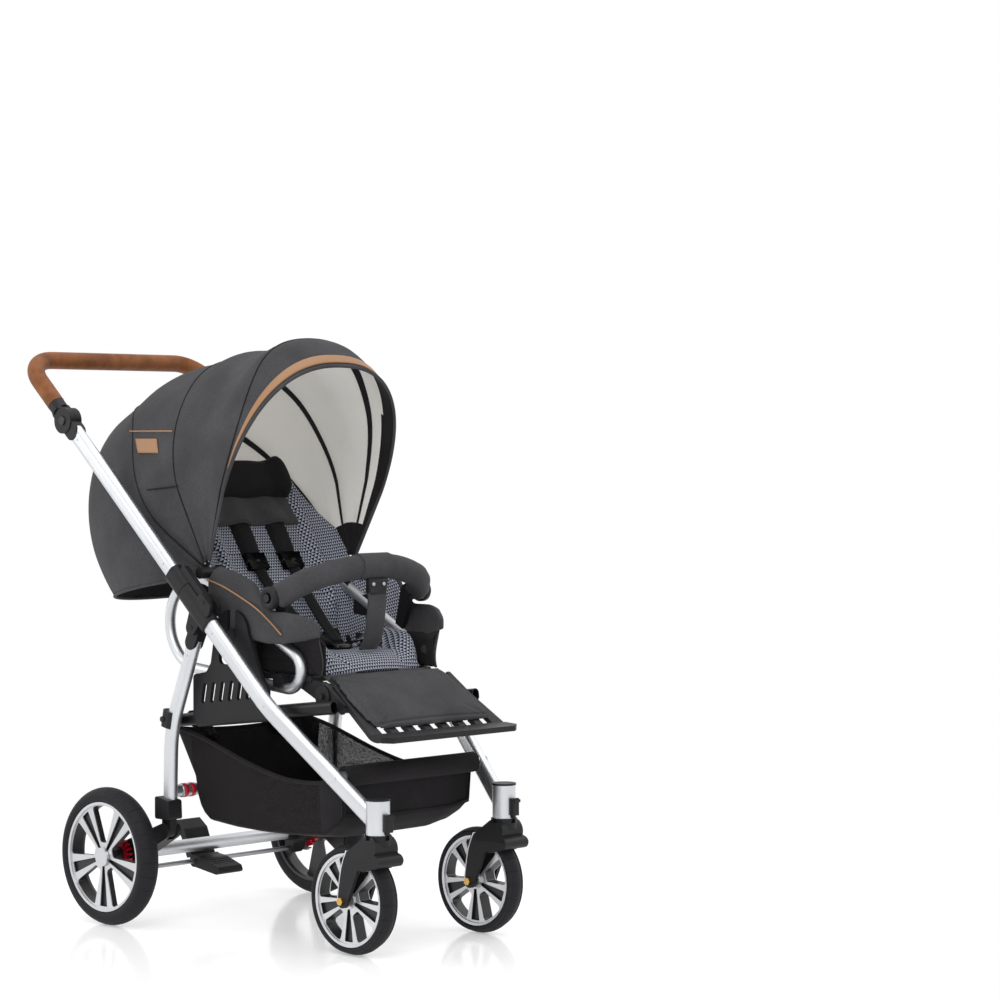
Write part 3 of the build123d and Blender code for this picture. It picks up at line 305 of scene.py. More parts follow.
def smooth_line(points, count, radius=0.0):
    """Mesh of one smooth NURBS line near a few control points, as a tube where it has a radius."""
    curve = bpy.data.curves.new("line", "CURVE")
    curve.dimensions = "3D"
    spline = curve.splines.new("NURBS")
    spline.points.add(len(points) - 1)
    for knot, point in zip(spline.points, points):
        knot.co = (*point, 1)
    spline.order_u = 3
    spline.use_endpoint_u = True
    spline.resolution_u = count
    curve.bevel_depth = radius
    curve.bevel_resolution = 4
    curve.use_fill_caps = True
    holder = bpy.data.objects.new("line", curve)
    mesh = bpy.data.meshes.new_from_object(holder)
    bpy.data.objects.remove(holder)
    bpy.data.curves.remove(curve)
    return mesh


def tube(name, points, radius, finish, body=None, count=6):
    """Round tube along a smooth line."""
    mesh = smooth_line(points, count, radius)
    mesh.name = name
    return piece(name, mesh, [finish], body)


def thicken(obj, thickness, offset=-1, inside=0):
    """Give a sheet its thickness; inside is the step in its finishes from its front to its back."""
    solid = obj.modifiers.new("thickness", "SOLIDIFY")
    solid.thickness = thickness
    solid.offset = offset
    solid.material_offset = inside
    settle(obj)


def strap(name, points, width, thick, across, finish, body=None, count=8):
    """Flat webbing along a smooth line; across is the direction of its width."""
    path = smooth_line(points, count)
    line = [vert.co.copy() for vert in path.vertices]
    bpy.data.meshes.remove(path)

    def place(u, v):
        spot = u * (len(line) - 1)
        low = min(int(spot), len(line) - 2)
        here = line[low].lerp(line[low + 1], spot - low)
        return here + across * ((v - 0.5) * width)

    obj = piece(name, grid(name, len(line) - 1, 4, place), [finish], body)
    thicken(obj, thick, 0)
    return obj


def soften(obj):
    """Apply one subdivision."""
    divide = obj.modifiers.new("round", "SUBSURF")
    divide.levels = divide.render_levels = 1
    settle(obj)


def puff(obj, cap, held):
    """Swell a pad by cloth simulation, by cap at most; held(point) tells what stays where it is."""
    remesh = obj.modifiers.new("remesh", "REMESH")
    remesh.mode = "VOXEL"
    remesh.voxel_size = 0.005
    settle(obj)
    rest = [vert.co.copy() for vert in obj.data.vertices]
    group = obj.vertex_groups.new(name="held")
    group.add([vert.index for vert in obj.data.vertices if held(vert.co)], 1.0, "REPLACE")
    cloth = obj.modifiers.new("cloth", "CLOTH")
    cloth.settings.quality = 4
    cloth.settings.mass = 0.25
    cloth.settings.use_pressure = True
    cloth.settings.uniform_pressure_force = 4
    cloth.settings.vertex_group_mass = "held"
    cloth.settings.effector_weights.gravity = 0
    scene = bpy.context.scene
    for step in range(1, 21):
        scene.frame_set(step)
    settle(obj)
    scene.frame_set(1)
    obj.vertex_groups.clear()
    for vert, start in zip(obj.data.vertices, rest):
        move = vert.co - start
        if move.length > cap:
            vert.co = start + move * (cap / move.length)
    soften(obj)


def press(obj, depth):
    """Sink sewn lines: depth(point) in metres, along the normal."""
    mesh = obj.data
    normals = [vert.normal.copy() for vert in mesh.vertices]
    for vert, normal in zip(mesh.vertices, normals):
        sink = depth(vert.co)
        if sink:
            vert.co -= normal * sink
    mesh.update()


def dress(finish, *nodes):
    """Give CAD nodes a finish."""
    for node in nodes:
        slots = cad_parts[node].data.materials
        slots.clear()
        slots.append(bpy.data.materials[finish])


def pair(*stems):
    """Names of the right and left nodes of each stem."""
    return [f"{stem}_{name}" for stem in stems for _, name in SIDES]


def canopy_point(phi, s, out=0.0):
    """Point of the canopy at a bow angle; s runs from -1 at the right foot to 1 at the left one."""
    radius, half = follow(CANOPY_BOWS, phi)
    reach = abs(s)
    if reach > WAIST_AT:
        down = (reach - WAIST_AT) / (1 - WAIST_AT)
        r = CANOPY_WAIST - (CANOPY_WAIST - CANOPY_FOOT_R) * down
        y = half - CANOPY_FOOT_IN * down
        lean = 0.15
    else:
        angle = (1 - reach / WAIST_AT) * pi / 2
        power = VISOR_SQUARE + (1 - VISOR_SQUARE) * ease(*VISOR_ENDS, phi)
        r = CANOPY_WAIST + (radius - CANOPY_WAIST) * sin(angle) ** power
        y = half * max(0, cos(angle)) ** power
        lean = sin(angle)
    fold = CANOPY_FOLD * sin(radians(phi) * 17) * ease(0.5, 0.9, reach)
    r += out * lean
    y += (out + fold) * (1 - lean * 0.8)
    x = CANOPY_PIVOT[0] + r * cos(radians(phi))
    z = CANOPY_PIVOT[1] + r * sin(radians(phi))
    return at(x, y if s > 0 else -y, z)


def canopy_s(phi, z):
    """How far across the canopy a bow comes down to a height."""
    radius = follow(CANOPY_BOWS, phi)[0]
    r = (z - CANOPY_PIVOT[1]) / sin(radians(phi))
    return WAIST_AT * (1 - degrees(asin((r - CANOPY_WAIST) / (radius - CANOPY_WAIST))) / 90)


def across_canopy(phi, out):
    """Points of a seam that runs over the canopy; phi may change with s."""
    steps, reach = 30, 0.99
    rows = [-reach + 2 * reach * step / steps for step in range(steps + 1)]
    return [canopy_point(phi(abs(s)), s, out) for s in rows]


def swatch(name, description, code):
    """Colour that a user may change."""
    return bpy.props.FloatVectorProperty(
        name=name, description=description, subtype="COLOR", size=4, default=linear(code))


def measure(name, description, size):
    """Size in metres that a user may change."""
    return bpy.props.FloatProperty(name=name, description=description, unit="LENGTH", default=size)


class StrollerColours(bpy.types.PropertyGroup):
    """Colours of the stroller."""

    charcoal: swatch("Charcoal cloth", "Canopy, seat walls, bumper and footrest cloth", "#48484A")
    lining: swatch("Lining", "Inside of the canopy", "#F1EFEA")
    tan: swatch("Tan trim", "Piping, visor band and patch", "#804719")
    leather: swatch("Grip leather", "Leather round the handle", "#84502C")
    knit_dark: swatch("Knit ground", "Dark thread of the seat cloth", "#2A2F45")
    knit_light: swatch("Knit figure", "Light thread of the seat cloth", "#C4C8D2")
    brake_red: swatch("Brake red", "Brake rings and bands", "#C4122B")


class StrollerSizes(bpy.types.PropertyGroup):
    """Sizes of the soft goods."""

    cloth: measure("Canopy cloth", "Thickness of canopy cloth and lining", 0.004)
    knit_cell: measure("Knit repeat", "Width of one figure of the seat cloth", 0.0066)
    webbing: measure("Webbing width", "Width of the harness webbing", 0.025)
    piping: measure("Piping", "Radius of sewn piping", 0.0018)


class STROLLER_OT_finishes(bpy.types.Operator):
    """Make the materials."""

    bl_idname = "stroller.finishes"
    bl_label = "Finishes"

    def execute(self, context):
        # grain, grit and threads are drawn 1 to 2.5 mm wide, coarser than life, so that they show
        colours = context.scene.stroller_colours
        self.metals()
        self.plastics(colours)
        self.tyres()
        self.rims()
        self.cloths(colours)
        self.leathers(colours)
        self.mesh()
        self.knits(colours, context.scene.stroller_sizes.knit_cell)
        return {"FINISHED"}

    def metals(self):
        # extruded tube, bead blasted and anodised: a soft bright sheen, a little uneven, with a fine grain
        tree, shader, place = begin("anodised_aluminium", Metallic=1.0)
        grain = add(tree, "ShaderNodeTexNoise", {"Vector": place, "Scale": per(1.11), "Detail": 3.0})
        cloud = add(tree, "ShaderNodeTexNoise", {"Vector": place, "Scale": per(111), "Detail": 2.0})
        tone = add(
            tree, "ShaderNodeMix",
            {"Factor": cloud.outputs[0], MIX_LOW: linear("#CDCFD2"), MIX_HIGH: linear("#DADCDF")},
            data_type="RGBA")
        rough = add(tree, "ShaderNodeMapRange", {"Value": grain.outputs[0], "To Min": 0.36, "To Max": 0.46})
        feed(tree, shader, Base_Color=tone.outputs[MIX_OUT], Roughness=rough.outputs[0])
        relief(tree, shader, grain.outputs[0], 0.00004)
        # zinc-plated steel: greyer and a little duller than the tubes
        tree, shader, place = begin("plated_steel", Base_Color=linear("#A9ABAE"), Metallic=1.0)
        grain = add(tree, "ShaderNodeTexNoise", {"Vector": place, "Scale": per(2), "Detail": 4.0})
        rough = add(tree, "ShaderNodeMapRange", {"Value": grain.outputs[0], "To Min": 0.3, "To Max": 0.45})
        feed(tree, shader, Roughness=rough.outputs[0])
        # turned brass: warm, bright, with turning marks
        tree, shader, place = begin("turned_brass", Base_Color=linear("#C9A25A"), Metallic=1.0)
        rings = add(
            tree, "ShaderNodeTexWave", {"Vector": place, "Scale": HALF_WAVE / 0.00064}, wave_type="RINGS")
        rough = add(tree, "ShaderNodeMapRange", {"Value": rings.outputs[1], "To Min": 0.2, "To Max": 0.32})
        feed(tree, shader, Roughness=rough.outputs[0])

    def plastics(self, colours):
        # glass-filled nylon from a spark-eroded mould: nearly black, fine matt grain
        tree, shader, place = begin("moulded_nylon", Base_Color=linear("#1F1F21"), Specular_IOR_Level=0.22)
        grain = add(tree, "ShaderNodeTexVoronoi", {"Vector": place, "Scale": per(1.11)})
        wear = add(tree, "ShaderNodeTexNoise", {"Vector": place, "Scale": per(71.4), "Detail": 4.0})
        rough = add(tree, "ShaderNodeMapRange", {"Value": wear.outputs[0], "To Min": 0.36, "To Max": 0.56})
        feed(tree, shader, Roughness=rough.outputs[0])
        relief(tree, shader, grain.outputs[0], 0.00012)
        # polished nylon of clips and adjusters: black with a clear gloss
        tree, shader, place = begin("polished_nylon", Base_Color=linear("#0C0D0E"), Specular_IOR_Level=0.4)
        wear = add(tree, "ShaderNodeTexNoise", {"Vector": place, "Scale": per(16.7), "Detail": 3.0})
        rough = add(tree, "ShaderNodeMapRange", {"Value": wear.outputs[0], "To Min": 0.14, "To Max": 0.28})
        feed(tree, shader, Roughness=rough.outputs[0])
        # black powder coat: satin with a slight orange peel
        tree, shader, place = begin("powder_coat", Base_Color=linear("#121214"), Specular_IOR_Level=0.25)
        peel = add(tree, "ShaderNodeTexNoise", {"Vector": place, "Scale": per(2.38), "Detail": 2.0})
        rough = add(tree, "ShaderNodeMapRange", {"Value": peel.outputs[0], "To Min": 0.28, "To Max": 0.42})
        feed(tree, shader, Roughness=rough.outputs[0])
        relief(tree, shader, peel.outputs[0], 0.00008)
        # red ABS: clear colour and an even moulded gloss
        tree, shader, place = begin("red_abs", Base_Color=colours.brake_red)
        flow = add(tree, "ShaderNodeTexNoise", {"Vector": place, "Scale": per(25), "Detail": 2.0})
        rough = add(tree, "ShaderNodeMapRange", {"Value": flow.outputs[0], "To Min": 0.26, "To Max": 0.36})
        feed(tree, shader, Roughness=rough.outputs[0])

    def tyres(self):
        # foam rubber: dry black dulled by dust, with shallow cuts across the tread
        tread_depth, shoulder = 0.009, 0.014
        for end, cuts in (("rear", 30), ("front", 24)):
            low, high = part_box(f"{end}_tyre_right")
            radius = (high.z - low.z) / 2
            tree, shader, place = begin(f"{end}_tyre_rubber", Specular_IOR_Level=0.14)
            dust = add(tree, "ShaderNodeTexNoise", {"Vector": place, "Scale": per(41.7), "Detail": 6.0})
            tone = add(
                tree, "ShaderNodeMix",
                {"Factor": dust.outputs[0], MIX_LOW: linear("#1D1D20"), MIX_HIGH: linear("#2C2C30")},
                data_type="RGBA")
            rough = add(tree, "ShaderNodeMapRange", {"Value": dust.outputs[0], "To Min": 0.5, "To Max": 0.7})
            feed(tree, shader, Base_Color=tone.outputs[MIX_OUT], Roughness=rough.outputs[0])
            arm = add(tree, "ShaderNodeVectorMath", {0: place, 1: (low + high) / 2}, operation="SUBTRACT")
            flat = add(
                tree, "ShaderNodeVectorMath", {0: arm.outputs[0], 1: (1.0, 0.0, 1.0)}, operation="MULTIPLY")
            reach = add(tree, "ShaderNodeVectorMath", {0: flat.outputs[0]}, operation="LENGTH")
            parts = add(tree, "ShaderNodeSeparateXYZ", {0: flat.outputs[0]})
            angle = add(
                tree, "ShaderNodeMath", {0: parts.outputs[2], 1: parts.outputs[0]}, operation="ARCTAN2")
            turn = add(
                tree, "ShaderNodeMath", {0: angle.outputs[0], 1: cuts / (2 * pi)}, operation="MULTIPLY")
            step = add(tree, "ShaderNodeMath", {0: turn.outputs[0], 1: 0.5}, operation="PINGPONG")
            cut = add(
                tree, "ShaderNodeMapRange",
                {"Value": step.outputs[0], "From Min": 0.02, "From Max": 0.06, "To Min": -1.0,
                 "To Max": 0.0})
            tread = add(
                tree, "ShaderNodeMapRange",
                {"Value": reach.outputs["Value"], "From Min": radius - shoulder,
                 "From Max": radius - tread_depth})
            height = add(
                tree, "ShaderNodeMath", {0: cut.outputs[0], 1: tread.outputs[0]}, operation="MULTIPLY")
            relief(tree, shader, height.outputs[0], 0.0012)

    def rims(self):
        # two-shot rims: gloss dark plastic with the raised faces in silver paint, split by how far a face
        # stands out from a centre
        low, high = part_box("front_tyre_left")
        front_middle, front_face = (low.y + high.y) / 2, 0.0128
        rear_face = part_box("rear_rim_left")[1].y - 0.0085
        blur = 0.0003
        for name, centre, edge in (
            ("rear_rim_paint", 0.0, rear_face), ("front_rim_paint", front_middle, front_face),
        ):
            tree, shader, place = begin(name)
            parts = add(tree, "ShaderNodeSeparateXYZ", {0: place})
            side = add(tree, "ShaderNodeMath", {0: parts.outputs[1]}, operation="ABSOLUTE")
            off = add(tree, "ShaderNodeMath", {0: side.outputs[0], 1: centre}, operation="SUBTRACT")
            depth = add(tree, "ShaderNodeMath", {0: off.outputs[0]}, operation="ABSOLUTE")
            raised = add(
                tree, "ShaderNodeMapRange",
                {"Value": depth.outputs[0], "From Min": edge - blur, "From Max": edge + blur})
            flake = add(tree, "ShaderNodeTexNoise", {"Vector": place, "Scale": per(1.25)})
            silver = add(
                tree, "ShaderNodeMix",
                {"Factor": flake.outputs[0], MIX_LOW: linear("#C2C3C6"), MIX_HIGH: linear("#D6D7DA")},
                data_type="RGBA")
            tone = add(
                tree, "ShaderNodeMix",
                {"Factor": raised.outputs[0], MIX_LOW: linear("#1A1A1C"), MIX_HIGH: silver.outputs[MIX_OUT]},
                data_type="RGBA")
            metal = add(tree, "ShaderNodeMath", {0: raised.outputs[0], 1: 0.75}, operation="MULTIPLY")
            rough = add(
                tree, "ShaderNodeMapRange", {"Value": raised.outputs[0], "To Min": 0.4, "To Max": 0.3})
            feed(tree, shader, Base_Color=tone.outputs[MIX_OUT], Metallic=metal.outputs[0],
                 Roughness=rough.outputs[0])

    def cloths(self, colours):
        # woven polyester: matt, flecked by threads of two tones, which are drawn 1.2 to 2.2 mm wide so
        # that the weave shows; the pale lining has a faint painted glow, an emission that stands in for
        # daylight coming through it
        plain = (
            ("charcoal_canvas", colours.charcoal, 0.75, 1.35, 0.0016, 0.00025, 0.0),
            ("black_nylon", linear("#282628"), 0.7, 1.4, 0.0014, 0.0002, 0.0),
            ("headrest_microfibre", linear("#202022"), 0.8, 1.3, 0.0012, 0.00012, 0.0),
            ("harness_webbing", linear("#1D1D1F"), 0.6, 1.5, 0.0022, 0.0004, 0.0),
            ("canopy_lining", colours.lining, 0.94, 1.05, 0.0014, 0.0001, 0.1),
        )
        for name, colour, dark, light, thread, height, glow in plain:
            # glow is painted light: an emission on the cloth itself, used only on the lining, in place of
            # daylight coming through it
            tree, shader, place = begin(
                name, Roughness=0.9, Specular_IOR_Level=0.08, Sheen_Weight=0.05, Emission_Color=colour,
                Emission_Strength=glow)
            # turned, so that no main face lies along the threads
            turn = add(tree, "ShaderNodeMapping", {"Vector": place, "Rotation": (0.6, 0.5, 0.78)})
            warp, weft = (
                add(tree, "ShaderNodeTexWave",
                    {"Vector": turn.outputs[0], "Scale": HALF_WAVE / thread, "Distortion": 1.5,
                     "Detail": 1.0, "Detail Scale": 3.0}, bands_direction=axis)
                for axis in "XZ"
            )
            weave = add(
                tree, "ShaderNodeMath", {0: warp.outputs[1], 1: weft.outputs[1]}, operation="MULTIPLY")
            fleck = add(tree, "ShaderNodeTexNoise", {"Vector": place, "Scale": per(2.38), "Detail": 3.0})
            cloud = add(tree, "ShaderNodeTexNoise", {"Vector": place, "Scale": per(90.9), "Detail": 3.0})
            mixed = add(
                tree, "ShaderNodeMath", {0: fleck.outputs[0], 1: cloud.outputs[0]}, operation="MULTIPLY")
            spread = add(
                tree, "ShaderNodeMapRange", {"Value": mixed.outputs[0], "From Min": 0.1, "From Max": 0.45})
            tone = add(
                tree, "ShaderNodeMix",
                {"Factor": spread.outputs[0], MIX_LOW: shade(colour, dark), MIX_HIGH: shade(colour, light)},
                data_type="RGBA")
            feed(tree, shader, Base_Color=tone.outputs[MIX_OUT])
            relief(tree, shader, weave.outputs[0], height)

    def leathers(self, colours):
        # full-grain leather: pebbled grain, blotched darker and lighter where hands hold it
        for name, colour, shine in (
            ("grip_leather", colours.leather, 0.22), ("tan_leather", colours.tan, 0.03),
        ):
            tree, shader, place = begin(name, Specular_IOR_Level=shine)
            grain = add(
                tree, "ShaderNodeTexVoronoi", {"Vector": place, "Scale": per(2.38)}, feature="SMOOTH_F1")
            wear = add(
                tree, "ShaderNodeTexNoise",
                {"Vector": place, "Scale": per(45.5), "Detail": 7.0, "Roughness": 0.62})
            spread = add(
                tree, "ShaderNodeMapRange", {"Value": wear.outputs[0], "From Min": 0.32, "From Max": 0.68})
            tone = add(
                tree, "ShaderNodeMix",
                {"Factor": spread.outputs[0], MIX_LOW: shade(colour, 0.62), MIX_HIGH: shade(colour, 1.3)},
                data_type="RGBA")
            rough = add(
                tree, "ShaderNodeMapRange", {"Value": wear.outputs[0], "To Min": 0.62, "To Max": 0.4})
            feed(tree, shader, Base_Color=tone.outputs[MIX_OUT], Roughness=rough.outputs[0])
            relief(tree, shader, grain.outputs[0], 0.00012, 0.5)

    def mesh(self):
        # warp-knit mesh: black threads round cells 1.6 mm wide, through which some light comes
        tree, shader, place = begin(
            "basket_mesh", Base_Color=linear("#2A2829"), Roughness=0.85, Specular_IOR_Level=0.1)
        cells = add(
            tree, "ShaderNodeTexVoronoi", {"Vector": place, "Scale": per(1.613)}, feature="DISTANCE_TO_EDGE")
        thread = add(
            tree, "ShaderNodeMapRange",
            {"Value": cells.outputs[0], "From Min": 0.1, "From Max": 0.18, "To Min": 1.0, "To Max": 0.3})
        feed(tree, shader, Alpha=thread.outputs[0])
        relief(tree, shader, cells.outputs[0], 0.0006)

    def knits(self, colours, cell):
        # jacquard knit: rows of light triangles on navy, a few millimetres across, soft and matt; turned to
        # lie level, and on the sides folded round the corner
        for name, turn, fold in (
            ("back_knit", BACK_SLOPE - pi / 2, 0.0), ("seat_knit", pi / 4, 0.0), ("side_knit", 0.3, 1.0),
        ):
            tree, shader, place = begin(name, Roughness=0.92, Specular_IOR_Level=0.08, Sheen_Weight=0.06)
            level = add(tree, "ShaderNodeMapping", {"Vector": place, "Rotation": (0.0, turn, 0.0)})
            parts = add(tree, "ShaderNodeSeparateXYZ", {0: level.outputs[0]})
            side = add(tree, "ShaderNodeMath", {0: parts.outputs[1]}, operation="ABSOLUTE")
            lean = add(
                tree, "ShaderNodeMath", {0: parts.outputs[0], 1: fold, 2: side.outputs[0]},
                operation="MULTIPLY_ADD")
            up = add(tree, "ShaderNodeMath", {0: parts.outputs[2], 1: 1 / cell}, operation="MULTIPLY")
            row = add(tree, "ShaderNodeMath", {0: up.outputs[0]}, operation="FLOOR")
            rise = add(tree, "ShaderNodeMath", {0: up.outputs[0]}, operation="FRACT")
            shift = add(tree, "ShaderNodeMath", {0: row.outputs[0], 1: 0.5}, operation="MULTIPLY")
            along = add(
                tree, "ShaderNodeMath", {0: lean.outputs[0], 1: 1 / cell, 2: shift.outputs[0]},
                operation="MULTIPLY_ADD")
            slope = add(tree, "ShaderNodeMath", {0: along.outputs[0], 1: 0.5}, operation="PINGPONG")
            twice = add(tree, "ShaderNodeMath", {0: slope.outputs[0], 1: 2.0}, operation="MULTIPLY")
            gap = add(
                tree, "ShaderNodeMath", {0: twice.outputs[0], 1: rise.outputs[0]}, operation="SUBTRACT")
            figure = add(
                tree, "ShaderNodeMapRange", {"Value": gap.outputs[0], "From Min": -0.02, "From Max": 0.12})
            yarn = add(tree, "ShaderNodeTexNoise", {"Vector": place, "Scale": per(1.667), "Detail": 2.0})
            ground, light = (
                add(tree, "ShaderNodeMix",
                    {"Factor": yarn.outputs[0], MIX_LOW: shade(colour, dark),
                     MIX_HIGH: shade(colour, bright)}, data_type="RGBA")
                for colour, dark, bright in ((colours.knit_dark, 0.6, 1.5), (colours.knit_light, 0.75, 1.15))
            )
            tone = add(
                tree, "ShaderNodeMix",
                {"Factor": figure.outputs[0], MIX_LOW: ground.outputs[MIX_OUT],
                 MIX_HIGH: light.outputs[MIX_OUT]}, data_type="RGBA")
            feed(tree, shader, Base_Color=tone.outputs[MIX_OUT])
            relief(tree, shader, figure.outputs[0], 0.0004)


class STROLLER_OT_frame(bpy.types.Operator):
    """Finish the rigid pieces and add their small trim."""

    bl_idname = "stroller.frame"
    bl_label = "Frame"

    def execute(self, context):
        dress("anodised_aluminium", *pair("front_leg", "push_tube", "rear_leg"), "front_cross_tube",
              "seat_hoops", "handle_tube", "axle_tube", "rear_cross_tube")
        dress("moulded_nylon", "frame_fittings", "push_fittings", "rear_fittings", "handle_hubs",
              "side_plates", "swing_arms", *pair("fork", "swivel_lock", "fold_slider"), "footrest_frame",
              "seat_frame", "backrest_board", "brake_pedal")
        dress("polished_nylon", *pair("handle_button", "bumper_button"), "buckle_button")
        dress("powder_coat", "carrier_tube")
        dress("plated_steel", "brake_rod")
        dress("turned_brass", *pair("axle_bolt"))
        dress("grip_leather", "handle_grip")
        dress("red_abs", *pair("brake_ring"))
        for end in ("rear", "front"):
            dress(f"{end}_tyre_rubber", *pair(f"{end}_tyre"))
            dress(f"{end}_rim_paint", *pair(f"{end}_rim"))
        self.bands()
        self.fork_strips()
        self.plugs()
        return {"FINISHED"}

    def plugs(self):
        """Domed plugs in the ends of the front cross tube."""
        low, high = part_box("front_cross_tube")
        profile = ((0.0, 0.001), (0.006, 0.0009), (0.0098, 0.0004), (0.0106, -0.001))
        recess = 0.008
        for side, name in SIDES:
            centre = Vector(((low.x + high.x) / 2, side * (high.y + recess), (low.z + high.z) / 2))
            mesh = turned("plug", centre, side, profile, 40)
            piece(f"cross_tube_plug_{name}", mesh, ["anodised_aluminium"], "front_frame")

    def bands(self):
        """Red rings on the ends of the rear cross tube."""
        low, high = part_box("rear_cross_tube")
        x = (low.x + high.x) / 2
        z = (low.z + high.z) / 2
        inner, pitch, half_width, radius = 0.171, 0.018, 0.0055, 0.0137
        # along the tube and outwards from it
        steps = ((0.0005, 0.0006), (0.0045, 0.0), (0.0045, 0.0), (0.0005, -0.0006))
        for side, name in SIDES:
            for number in range(2):
                bm = bmesh.new()
                y = side * (inner + pitch * number)
                for vert in bmesh.ops.create_circle(bm, segments=40, radius=radius)["verts"]:
                    vert.co = (x + vert.co.x, y - half_width, z + vert.co.y)
                edges = bm.edges[:]
                for along, grow in steps:
                    new = bmesh.ops.extrude_edge_only(bm, edges=edges)["geom"]
                    edges = [item for item in new if isinstance(item, bmesh.types.BMEdge)]
                    for vert in {vert for edge in edges for vert in edge.verts}:
                        away = Vector((vert.co.x - x, 0, vert.co.z - z)).normalized()
                        vert.co += away * grow + ACROSS * along
                mesh = meshed(bm, "band", outwards=True)
                piece(f"rear_band_{name}_{number + 1}", mesh, ["red_abs"], "rear_frame")

    def fork_strips(self):
        """Silver strip down the back edge of each fork leg."""
        leg_y, width, thick = 29, 0.0085, 0.0022
        edge = ((594.5, 100), (594, 112), (600, 150), (606, 178), (618, 204))
        for side, name in SIDES:
            low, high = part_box(f"fork_{name}")
            for leg in (-1, 1):
                y = (low.y + high.y) / 2 * 1000 + leg * leg_y
                strap(f"fork_strip_{name}_{'inner' if leg == -side else 'outer'}",
                      [at(x, y, z) for x, z in edge], width, thick, ACROSS, "anodised_aluminium",
                      f"caster_{name}", 6)


class STROLLER_OT_canopy(bpy.types.Operator):
    """Build the canopy as one continuous sheet with its trim."""

    bl_idname = "stroller.canopy"
    bl_label = "Canopy"

    def execute(self, context):
        sizes = context.scene.stroller_sizes
        span = CANOPY_REAR - CANOPY_FRONT

        def facing(u, v):
            """Dark inside along the visor, the hem and the feet."""
            return 2 if u * span < 4.5 + 3.5 * v or u > 0.93 or abs(2 * v - 1) > 0.885 else 0

        skin = grid(
            "canopy", 96, 84, lambda u, v: canopy_point(CANOPY_FRONT + span * u, 2 * v - 1), facing,
            at(CANOPY_PIVOT[0], 0, CANOPY_PIVOT[1]))
        canopy = piece(
            "canopy", skin, ["charcoal_canvas", "canopy_lining", "charcoal_canvas", "black_nylon"])
        thicken(canopy, sizes.cloth, inside=1)
        trims = [self.band(), *self.seams(sizes.piping), *self.pocket(sizes.piping), *self.bows()]
        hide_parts("canopy_front", "canopy_mid", "canopy_rear")
        for obj in (canopy, *trims):
            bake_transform(obj)
        return {"FINISHED"}

    def band(self):
        """Leather band along the visor, widest at the crown."""

        def place(u, v):
            s = (2 * v - 1) * 0.67
            wide = 2.7 * (1 - (s / 0.68) ** 2) ** 0.7 + 0.05
            return canopy_point(CANOPY_FRONT + 1.1 + wide * u, s, 1.4)

        strip = piece("visor_band", grid("visor_band", 4, 72, place), ["tan_leather"])
        thicken(strip, 0.0014, 0)
        return strip

    def seams(self, radius):
        """Edge binding and the corded seams over the bows."""
        lines = (
            ("visor_binding", lambda s: CANOPY_FRONT + 0.2, 0.0034, "charcoal_canvas"),
            ("visor_seam", lambda s: CANOPY_FRONT + 2.5 + 10.5 * (1 - ease(0.1, 0.74, s)), radius,
             "black_nylon"),
            ("front_seam", lambda s: 108 + 5 * ease(0.3, 0.8, s), radius, "black_nylon"),
            ("rear_seam", lambda s: 138 - 4 * ease(0.1, 0.4, s) + 12 * ease(0.4, 0.8, s), radius,
             "black_nylon"),
            ("hem", lambda s: CANOPY_REAR - 0.2, 0.003, "charcoal_canvas"),
        )
        return [
            tube(name, across_canopy(phi, 0.6), size, finish, count=5)
            for name, phi, size, finish in lines
        ]

    def pocket(self, radius):
        """Pocket on the right side with tan piping, a lower seam and a bare leather patch."""
        first, last, steps = 111.5, 135.5, 8
        made = []
        for name, height, lean, finish in (
            ("pocket_piping", 1003, 0.0, "tan_leather"), ("pocket_seam", 884, 9.0, "black_nylon"),
        ):
            line = []
            for step in range(steps + 1):
                phi = first + (last - first) * step / steps
                line.append(canopy_point(phi, -canopy_s(phi, height + lean * (1 - step / steps)), 0.8))
            made.append(tube(name, line, radius * 0.9, finish))

        def place(u, v):
            phi = 121 + 11.5 * u
            return canopy_point(phi, -canopy_s(phi, 958 + 29 * v), 2.2)

        patch = piece("pocket_patch", grid("pocket_patch", 12, 8, place), ["tan_leather"])
        thicken(patch, 0.0018, 0)
        return [*made, patch]

    def bows(self):
        """Dark sleeves sewn inside over the bows."""
        made = []
        for number, phi in enumerate((80, 109, 138)):

            def place(u, v, phi=phi):
                wave = 0.18 * sin(v * 40 + phi)
                return canopy_point(phi + 1.9 * (u - 0.5) + wave, (2 * v - 1) * 0.985, -6.5)

            sleeve = piece(
                f"bow_sleeve_{number + 1}", grid("bow_sleeve", 3, 60, place), ["black_nylon"])
            thicken(sleeve, 0.004, 0)
            made.append(sleeve)
        return made


